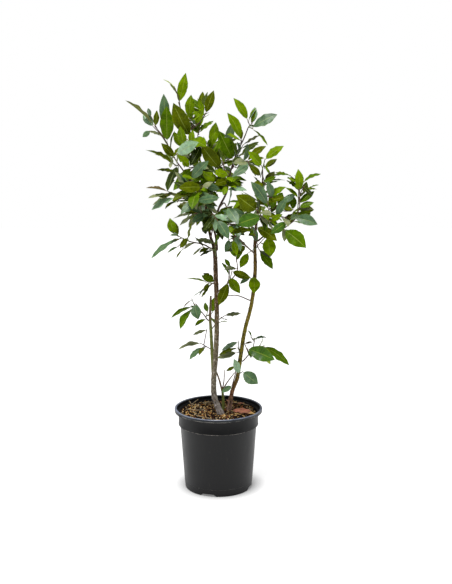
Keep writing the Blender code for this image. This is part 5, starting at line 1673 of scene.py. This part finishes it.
def make_scars(fine_lines):
    """Small corky scars on the two old stems."""
    chance = random.Random(SCAR_SEED)
    piece = Joined("bark_scars", ["scar"])
    low, high = SCAR_HEIGHTS
    for number in range(SCARS):
        line = fine_lines["stem_left" if number % RIGHT_STEM_EVERY else "stem_right"]
        at = chance.choice([i for i, place in enumerate(line) if low < place.z < high])
        ahead = (line[at + 1].xyz - line[at].xyz).normalized()
        across = ahead.orthogonal().normalized()
        out = swung(across, ahead.cross(across), chance.uniform(0, 2 * math.pi))
        radius = chance.uniform(*SCAR_RADII)
        place = line[at].xyz + out * (line[at].w - radius * SCAR_SUNK)
        side = out.cross(ahead)
        points = []
        for (share, rise), k in product(SCAR_LEVELS, range(SCAR_SIDES)):
            angle = 2 * math.pi * k / SCAR_SIDES
            rim = ahead * math.cos(angle) * SCAR_LENGTH + side * math.sin(angle)
            points.append(place + rim * radius * share + out * radius * rise)
        piece.add(points, ring_faces(len(SCAR_LEVELS), SCAR_SIDES), "scar")
    piece.make("grey_bark")


def fine_twig(path, carrier):
    """A twig's line in short steps, begun at the middle of what carries it."""
    line = smooth_line(path, TWIG_FINE_STEP)
    root = carrier[nearest_on(carrier, path[0].xyz)]
    if (root.xyz - path[0].xyz).length > TWIG_SEATED:
        line.insert(0, Vector((*root.xyz, path[0].w)))
    return line


def twig_tube(line, knots):
    """Points and faces of a twig that thickens where its leaves stand."""
    points = []
    for i, (place, across, other) in enumerate(framed(line)):
        radius = place.w
        for knot in knots:
            away = (place.xyz - line[knot].xyz).length
            radius += place.w * TWIG_NODE_SHARE * math.exp(-((away / TWIG_NODE_SPAN) ** 2))
        if i == len(line) - 1:
            radius *= TWIG_END_SHARE
        ring = around(across, other, TWIG_FINE_SIDES)
        points += [place.xyz + rim * radius for _, rim in ring]
    return points, ring_faces(len(line), TWIG_FINE_SIDES)


def bud_shape(root, way, length):
    """Points and faces of a small pointed bud."""
    across = way.orthogonal().normalized()
    points = []
    for share, fullness in BUD_RINGS:
        for _, rim in around(across, way.cross(across), BUD_SIDES):
            out = rim * length * BUD_WIDTH / 2 * fullness
            points.append(root + way * length * share + out)
    points.append(root + way * length)
    sides = ring_faces(len(BUD_RINGS), BUD_SIDES)[:-1]
    return points, sides + fan((len(BUD_RINGS) - 1) * BUD_SIDES, BUD_SIDES)


def petiole_tube(start, points, leaf):
    """The stalk from the middle of the twig to the first row of the blade."""
    end = (Vector(points[0]) + Vector(points[len(COLUMNS) - 1])) / 2
    ahead = (leaf.tip - leaf.base).normalized()
    heading = (end - start).normalized()
    arrive = end + ahead * PETIOLE_RADIUS * PETIOLE_REACH
    thin = PETIOLE_RADIUS * PETIOLE_TAPER
    path = bent_path(start, heading, arrive, ahead, PETIOLE_RADIUS, thin)
    step = min(PETIOLE_STEP, max((end - start).length, SHORTEST_STEP))
    return tube(smooth_line(path, step), PETIOLE_SIDES)


def make_foliage(crown, fine_lines):
    """Twigs, leaves and buds, each kind joined by groups of masses that stand near each other."""
    names = list(MASSES)
    finishes = [*LEAF_TONES, *UNDER_TONES, "rib", "rib_pale", "dry"]
    for number, first in enumerate(range(0, len(names), MASSES_A_PIECE), 1):
        group = names[first : first + MASSES_A_PIECE]
        leaves = Joined(f"leaves_{number}", finishes)
        twigs = Joined(f"twigs_{number}", ["twig_brown", "twig_red", "twig_green"])
        stalks = Joined(f"leaf_stalks_{number}", ["petiole", "petiole_red", "bud"])
        for name in group:
            grow_mass(name, crown, fine_lines, leaves, twigs, stalks)
        for piece in (leaves, twigs, stalks):
            piece.make("laurel_foliage", *group)


def grow_mass(name, crown, fine_lines, leaves, twigs, stalks):
    """One mass's fine twigs, leaves and buds."""
    plan = MASSES[name]
    chance = random.Random(plan.seed + LOOK_SEED)
    lines = []
    for path, parent in zip(crown.twigs[name], crown.parents[name]):
        carrier = fine_lines[parent] if isinstance(parent, str) else lines[parent[1]]
        lines.append(fine_twig(path, carrier))
    knots = [[] for _ in lines]
    for leaf, twig, rank in crown.leaves[name]:
        line = lines[twig[1]]
        at = nearest_on(line, leaf.base)
        start = line[at].xyz
        if abs(leaf.face.y) < EDGE_LIMIT:
            leaf = leaf._replace(face=leaf.face + EDGE_TILT)
        points, places = blade(leaf, chance)
        tone = chance.choice(PALETTES[plan.palette]) if rank is None else plan.shoots[rank].tone
        under = "under_blue" if tone in COOL_TONES else chance.choice(UNDERS)
        rib = "rib_pale" if tone in PALE_RIB_TONES else "rib"
        tops, unders = np.where(ON_RIB, rib, tone), np.where(ON_RIB, "rib_pale", under)
        leaves.add_blade(points, places, list(tops), list(unders))
        red = chance.random() < RED_PETIOLE_CHANCE
        stalks.add(*petiole_tube(start, points, leaf), "petiole_red" if red else "petiole")
        if rank is None:
            knots[twig[1]].append(at)
            ahead = ahead_at(line, at)
            way = (ahead.normalized() + (leaf.tip - leaf.base).normalized()).normalized()
            out = way.cross(ahead.cross(way)).normalized()
            root = start + way * line[at].w * BUD_SEAT
            way = (way + out * BUD_LEAN).normalized()
            stalks.add(*bud_shape(root, way, chance.uniform(*BUD_LENGTHS)), "bud")
    for line, knot in zip(lines, knots):
        tip = (line[-1].xyz - line[-2].xyz).normalized()
        if line[0].w < GREEN_TWIG_RADIUS and chance.random() < GREEN_TWIG_CHANCE:
            finish = "twig_green"
        else:
            finish = "twig_red" if chance.random() < RED_TWIG_CHANCE else "twig_brown"
        twigs.add(*twig_tube(line, knot), finish)
        root = line[-1].xyz - tip * END_BUD_SEAT
        stalks.add(*bud_shape(root, tip, chance.uniform(*END_BUD_LENGTHS)), "bud")


def arc(middle, radius, first, last, steps):
    """Points of an arc round a (radius, height) middle, between two angles in degrees."""
    turns = [math.radians(first + (last - first) * k / steps) for k in range(steps + 1)]
    return [(middle[0] + radius * math.cos(t), middle[1] + radius * math.sin(t)) for t in turns]


def fine_pot_profile():
    """Half the pot's section with its rolled lip, groove, collar, ring line and rounded foot."""
    lip_foot = POT_HEIGHT - LIP_HEIGHT
    mouth = RIM_RADIUS - RIM_WIDTH
    bead = (RIM_RADIUS - BEAD_RADIUS, POT_HEIGHT - BEAD_RADIUS)
    inner = (mouth + BEAD_RADIUS, POT_HEIGHT - BEAD_RADIUS)
    slope = (BODY_TOP_RADIUS - FOOT_BAND_RADIUS) / (COLLAR_FOOT - FOOT_BAND)
    ring = FOOT_BAND_RADIUS + slope * (RING_HEIGHT - FOOT_BAND)
    foot = (BASE_RADIUS - FOOT_ROUND, FOOT_ROUND)
    inside = [
        (0, FLOOR),
        (LEDGE_RADIUS, FLOOR),
        (LEDGE_RADIUS, LEDGE_HEIGHT),
        (BASE_RADIUS - WALL, LEDGE_HEIGHT),
        (BODY_TOP_RADIUS - WALL, COLLAR_FOOT),
        (COLLAR_RADIUS - WALL, COLLAR_FOOT + 2 * WALL),
        (COLLAR_RADIUS - WALL, lip_foot - WALL),
        (mouth, lip_foot),
    ]
    outside = [
        (RIM_RADIUS - GROOVE_DEPTH, GROOVE_HEIGHT),
        (RIM_RADIUS - GROOVE_DEPTH, (GROOVE_HEIGHT + BAND_TOP) / 2),
        (RIM_RADIUS - SMALL_STEP, BAND_TOP),
        (RIM_RADIUS - SMALL_STEP, BAND_TOP - EDGE_BAND),
        (RIM_RADIUS - SMALL_STEP / 2, BAND_FOOT + SMALL_STEP),
        (RIM_RADIUS - SMALL_STEP, lip_foot),
        (COLLAR_RADIUS + 2 * SMALL_STEP, lip_foot),
        (COLLAR_RADIUS, lip_foot - 2 * SMALL_STEP),
        (COLLAR_RADIUS, COLLAR_FOOT + 5 * SMALL_STEP),
        (COLLAR_RADIUS + COLLAR_EDGE, COLLAR_FOOT + 3 * SMALL_STEP),
        (COLLAR_RADIUS + COLLAR_EDGE, COLLAR_FOOT + SMALL_STEP),
        (COLLAR_RADIUS - SMALL_STEP, COLLAR_FOOT),
        (BODY_TOP_RADIUS + SMALL_STEP, COLLAR_FOOT - 2 * SMALL_STEP),
        (BODY_TOP_RADIUS, COLLAR_FOOT - 4 * SMALL_STEP),
        (ring, RING_HEIGHT),
        (ring - RING_DEPTH, RING_HEIGHT - SMALL_STEP),
        (FOOT_BAND_RADIUS - RING_DEPTH / 2, FOOT_BAND - SMALL_STEP),
    ]
    lip = arc(inner, BEAD_RADIUS, *LIP_INNER_TURN, BEAD_STEPS)
    lip += arc(bead, BEAD_RADIUS, *LIP_OUTER_TURN, BEAD_STEPS)
    return inside + lip + outside + arc(foot, FOOT_ROUND, *FOOT_TURN, FOOT_STEPS) + [(0, 0)]


def turned_mesh(name, profile, sides):
    """A closed mesh turned from a profile that starts and ends on the axis."""
    rings = len(profile) - 2
    turns = np.arange(sides) * 2 * np.pi / sides
    points = [(0, 0, profile[0][1])]
    for radius, height in profile[1:-1]:
        points += [(radius * math.cos(t), radius * math.sin(t), height) for t in turns]
    points.append((0, 0, profile[-1][1]))
    faces = []
    for k in range(sides):
        n = (k + 1) % sides
        faces.append((0, 1 + k, 1 + n))
        for ring in range(rings - 1):
            a, b = 1 + ring * sides, 1 + (ring + 1) * sides
            faces.append((a + k, b + k, b + n, a + n))
        last = 1 + (rings - 1) * sides
        faces.append((last + k, len(points) - 1, last + n))
    return new_mesh(name, points, faces)


def fix_normals(mesh):
    """Turns every face of a closed mesh outward."""
    shape = bmesh.new()
    shape.from_mesh(mesh)
    bmesh.ops.recalc_face_normals(shape, faces=shape.faces)
    shape.to_mesh(mesh)
    shape.free()


def block(name, points):
    """A cutter with eight corners."""
    return put(name, new_mesh(name, points, BLOCK_FACES))


def foot_cutters():
    """The slant-sided notches in the pot's foot and the drain hole at the back of each."""
    cutters = []
    slant = (NOTCH_FOOT_SPAN - NOTCH_TOP_SPAN) * CUT_MARGIN / NOTCH_HEIGHT
    levels = ((-CUT_MARGIN, NOTCH_FOOT_SPAN + slant), (NOTCH_HEIGHT, NOTCH_TOP_SPAN))
    notch_reach = (NOTCH_BACK, FOOT_BAND_RADIUS + CUT_MARGIN)
    drain_reach = (LEDGE_RADIUS - CUT_MARGIN, NOTCH_BACK + CUT_MARGIN)
    for number in range(NOTCHES):
        bearing = math.radians(NOTCH_BEARING) + 2 * math.pi * number / NOTCHES
        points = []
        for (height, span), radius, side in product(levels, notch_reach, HALVES):
            turn = bearing + side * span
            points.append((radius * math.cos(turn), radius * math.sin(turn), height))
        cutters.append(block(f"notch_{number}", points))
        turn = bearing - DRAIN_OFFSET
        ahead = Vector((math.cos(turn), math.sin(turn), 0))
        aside = Vector((-math.sin(turn), math.cos(turn), 0))
        points = []
        for up, radius, side in product(HALVES, drain_reach, HALVES):
            place = ahead * radius + aside * side * DRAIN_WIDTH
            points.append((place.x, place.y, DRAIN_MIDDLE + up * DRAIN_HEIGHT))
        cutters.append(block(f"drain_{number}", points))
    return cutters


def pot_finish(place):
    """The finish of a place on the pot: a painted highlight on the lip's top or on an edge line,
    the bead, or the plain wall.
    """
    if place.z > POT_HEIGHT - LIP_HIGHLIGHT_DEPTH:
        return "plastic_lip_highlight"
    if place.z > BAND_TOP:
        return "plastic_rim"
    away = math.hypot(place.x, place.y)
    # Bands that get the painted highlight lines
    under_lip = away > COLLAR_RADIUS and place.z > BAND_TOP - EDGE_BAND
    on_collar = away > COLLAR_RADIUS and COLLAR_FOOT < place.z < COLLAR_FOOT + EDGE_BAND
    on_ring = away > FOOT_BAND_RADIUS - RING_DEPTH and abs(place.z - RING_HEIGHT) < EDGE_BAND / 2
    return "plastic_edge_highlight" if under_lip or on_collar or on_ring else "plastic"


def make_pot():
    """The moulded pot, with its notches and drain holes cut through."""
    blank = put("pot_blank", turned_mesh("pot_blank", fine_pot_profile(), POT_FINE_SIDES))
    cutters = foot_cutters()
    for tool in cutters:
        fix_normals(tool.data)
        cut = blank.modifiers.new(tool.name, "BOOLEAN")
        cut.operation = "DIFFERENCE"
        cut.object = tool
        cut.solver = "EXACT"
    fix_normals(blank.data)
    graph = bpy.context.evaluated_depsgraph_get()
    shape = bpy.data.meshes.new_from_object(blank.evaluated_get(graph))
    for spare in (blank, *cutters):
        bpy.data.objects.remove(spare, do_unlink=True)
    shape.materials.clear()
    smooth(shape, POT_FINISHES)
    marks = [POT_FINISHES.index(pot_finish(face.center)) for face in shape.polygons]
    shape.polygons.foreach_set("material_index", marks)
    dress_as(put("moulded_pot", shape), "black_plastic", "pot")


def soil_height(x, y):
    """The height of the rough soil bed at a place inside the pot."""
    away = math.hypot(x, y)
    fall = max(0, away - SOIL_PLATEAU) / (COLLAR_RADIUS - WALL - SOIL_PLATEAU)
    level = SOIL_TOP + (SOIL_EDGE - SOIL_TOP) * fall
    rough = noise.noise(Vector((x, y, 0)) * SOIL_BUMP_SCALE)
    return level + SOIL_BUMP * rough - SOIL_BUMP


def make_soil():
    """The soil bed: a rough top on a plain body that fills the pot."""
    wall = COLLAR_RADIUS - WALL - CLEAR
    rings = range(1, SOIL_RINGS + 1)
    profile = [(0, SOIL_TOP)] + [(wall * ring / SOIL_RINGS, SOIL_TOP) for ring in rings]
    profile += [
        (wall, COLLAR_FOOT + 2 * WALL + CLEAR),
        (BODY_TOP_RADIUS - WALL - CLEAR, COLLAR_FOOT + CLEAR),
        (BASE_RADIUS - WALL - CLEAR, LEDGE_HEIGHT + CLEAR),
        (0, LEDGE_HEIGHT + CLEAR),
    ]
    mesh = turned_mesh("soil_bed", profile, SOIL_SIDES)
    for vertex in mesh.vertices[: 1 + SOIL_RINGS * SOIL_SIDES]:
        vertex.co.z = soil_height(vertex.co.x, vertex.co.y)
    fix_normals(mesh)
    smooth(mesh, ["soil_bed"])
    dress_as(put("soil_bed", mesh), "bark_soil", "soil")


def chip_shape(chance, place, length, width, thick, turn, tilt):
    """A split bark chip: an uneven slab of a few sides."""
    level = math.cos(tilt)
    ahead = Vector((math.cos(turn) * level, math.sin(turn) * level, math.sin(tilt)))
    roll = chance.uniform(-CHIP_ROLL, CHIP_ROLL)
    aside = Vector((-math.sin(turn), math.cos(turn), roll)).normalized()
    above = ahead.cross(aside).normalized()
    points = []
    for (rise, share), k in product(CHIP_LEVELS, range(CHIP_SIDES)):
        angle = 2 * math.pi * k / CHIP_SIDES
        x = math.cos(angle) * length / 2 * share * chance.uniform(*CHIP_UNEVEN)
        y = math.sin(angle) * width / 2 * share * chance.uniform(*CHIP_UNEVEN)
        points.append(place + ahead * x + aside * y + above * (rise * thick))
    return points, ring_faces(len(CHIP_LEVELS), CHIP_SIDES)


def make_chips():
    """Bark chips over the soil bed, short ones and some long splinters, in several tones."""
    chance = random.Random(CHIP_SEED)
    tones = list(CHIP_TONES)
    piece = Joined("bark_chips", tones)
    reach = COLLAR_RADIUS - WALL - CLEAR
    for kind in (kind for kind in CHIP_KINDS for _ in range(kind.count)):
        length = chance.uniform(*kind.lengths)
        away = (reach - length / 2 - CHIP_MARGIN) * math.sqrt(chance.random())
        bearing = chance.uniform(0, 2 * math.pi)
        x, y = away * math.cos(bearing), away * math.sin(bearing)
        width = length * chance.uniform(*kind.widths)
        thick = width * chance.uniform(*CHIP_THICKNESS)
        tilt = chance.uniform(-kind.tilt, kind.tilt)
        place = Vector((x, y, soil_height(x, y) + chance.uniform(0, CHIP_LIFT) + kind.lift))
        shape = chip_shape(chance, place, length, width, thick, chance.uniform(0, math.pi), tilt)
        piece.add(*shape, chance.choices(tones, CHIP_WEIGHTS)[0])
    piece.make("bark_soil", "soil", sharp=SHARP_ANGLE)


def make_litter():
    """Dry twigs and fallen leaves that lie on the bark."""
    chance = random.Random(LITTER_SEED)
    twigs = Joined("fallen_twigs", ["dry_twig"])
    for way in LITTER_TWIGS:
        stations = []
        for k, (x, y, lift) in enumerate(way):
            radius = LITTER_RADIUS * (1 - LITTER_TAPER * k / len(way))
            stations.append((x, y, soil_height(x, y) + lift, radius))
        twigs.add(*bark_tube(smooth_line(stations, BARK_STEP), TWIG_FINE_SIDES, chance), "dry_twig")
    twigs.make("bark_soil")
    leaves = Joined("fallen_leaves", ["fallen", "fallen_tip"])
    for root, tip, face, width, arch in FALLEN:
        ends = [Vector((x, y, soil_height(x, y) + lift)) for x, y, lift in (root, tip)]
        points, places = blade(Leaf(*ends, Vector(face).normalized(), width, arch), chance)
        along = places[:, 1][TOP_FACES].mean(1)
        marks = list(np.where((along > FALLEN_DRY_FROM) | ON_RIB, "fallen_tip", "fallen"))
        leaves.add_blade(points, places, marks, marks)
    leaves.make("laurel_foliage")


def make_lamp(name, kind, place, target, **settings):
    """A light at a place, turned to its target."""
    light = bpy.data.lights.new(name, kind)
    for key, value in settings.items():
        setattr(light, key, value)
    lamp = put(name, light)
    lamp.location = place
    lamp.rotation_euler = (Vector(target) - Vector(place)).to_track_quat("-Z", "Y").to_euler()


def make_world():
    """An even white sky that lights softly and looks plain white."""
    world = bpy.data.worlds.new("studio")
    world.use_nodes = True
    tree = world.node_tree
    light = tree.nodes["Background"]
    light.inputs["Color"].default_value = OPAQUE_WHITE
    light.inputs["Strength"].default_value = SKY_STRENGTH
    backdrop = tree.nodes.new("ShaderNodeBackground")
    backdrop.inputs["Color"].default_value = OPAQUE_WHITE
    either = tree.nodes.new("ShaderNodeMixShader")
    seen = tree.nodes.new("ShaderNodeLightPath")
    tree.links.new(seen.outputs["Is Camera Ray"], either.inputs["Fac"])
    tree.links.new(light.outputs["Background"], either.inputs[1])
    tree.links.new(backdrop.outputs["Background"], either.inputs[2])
    tree.links.new(either.outputs["Shader"], tree.nodes["World Output"].inputs["Surface"])
    bpy.context.scene.world = world


def make_floor():
    """A plain pale floor that glows evenly, with a painted shadow where its glow dims close under
    the pot.
    """
    finish = Finish("floor", *FLOOR_GLOSS)
    shades = (FLOOR_COLOUR, scaled(FLOOR_COLOUR, FLOOR_LIGHTER))
    finish.colour = finish.ramp(finish.noise(FLOOR_GRAIN), *zip(GRAIN_RANGE, shades))
    # Painted contact shadow: the glow dims where the pot stands within reach
    closed = finish.node("AmbientOcclusion", {"Distance": FLOOR_SHADE_REACH}, "AO")
    glow = finish.spread(closed, *FLOOR_SHADE_RANGE, FLOOR_GLOW_SHADED, FLOOR_GLOW)
    finish.shader.inputs["Emission Color"].default_value = OPAQUE_WHITE
    finish.tree.links.new(glow, finish.shader.inputs["Emission Strength"])
    finish.done()
    half = FLOOR_SIZE / 2
    corners = [(-half, -half, 0), (half, -half, 0), (half, half, 0), (-half, half, 0)]
    mesh = new_mesh("floor", corners, [(0, 1, 2, 3)])
    mesh.materials.append(FINISHES["floor"])
    put("floor", mesh)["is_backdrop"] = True


def make_studio():
    """A camera at the photograph's angle, soft white light and a plain pale floor."""
    scene = bpy.context.scene
    camera = put("camera", bpy.data.cameras.new("camera"))
    camera.location = CAMERA_PLACE
    camera.rotation_euler = (math.pi / 2 - CAMERA_PITCH, 0, 0)
    camera.data.sensor_fit = "VERTICAL"
    camera.data.sensor_height = SENSOR_HEIGHT
    camera.data.lens = CAMERA_LENS
    scene.camera = camera
    scene.view_settings.view_transform = "Standard"
    for name, place, power in SOFTBOXES:
        make_lamp(name, "AREA", place, SOFTBOX_TARGET, energy=power, size=SOFTBOX_SIZE)
    make_lamp("overhead", "SUN", SUN_PLACE, (0, 0, 0), energy=SUN_STRENGTH, angle=SUN_ANGLE)
    make_world()
    make_floor()


make_studio()
make_finishes()
limbs = grow_limbs()
crown = Crown(limbs)
fine_lines = {}
for limb in limbs:
    fine_lines[limb] = fine_limb(limb, limbs, fine_lines)
make_limbs(fine_lines)
make_scars(fine_lines)
make_cut_shoot()
make_foliage(crown, fine_lines)
make_pot()
make_soil()
make_chips()
make_litter()

[[list(corner) for corner in box] for box in (cad_box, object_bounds())]
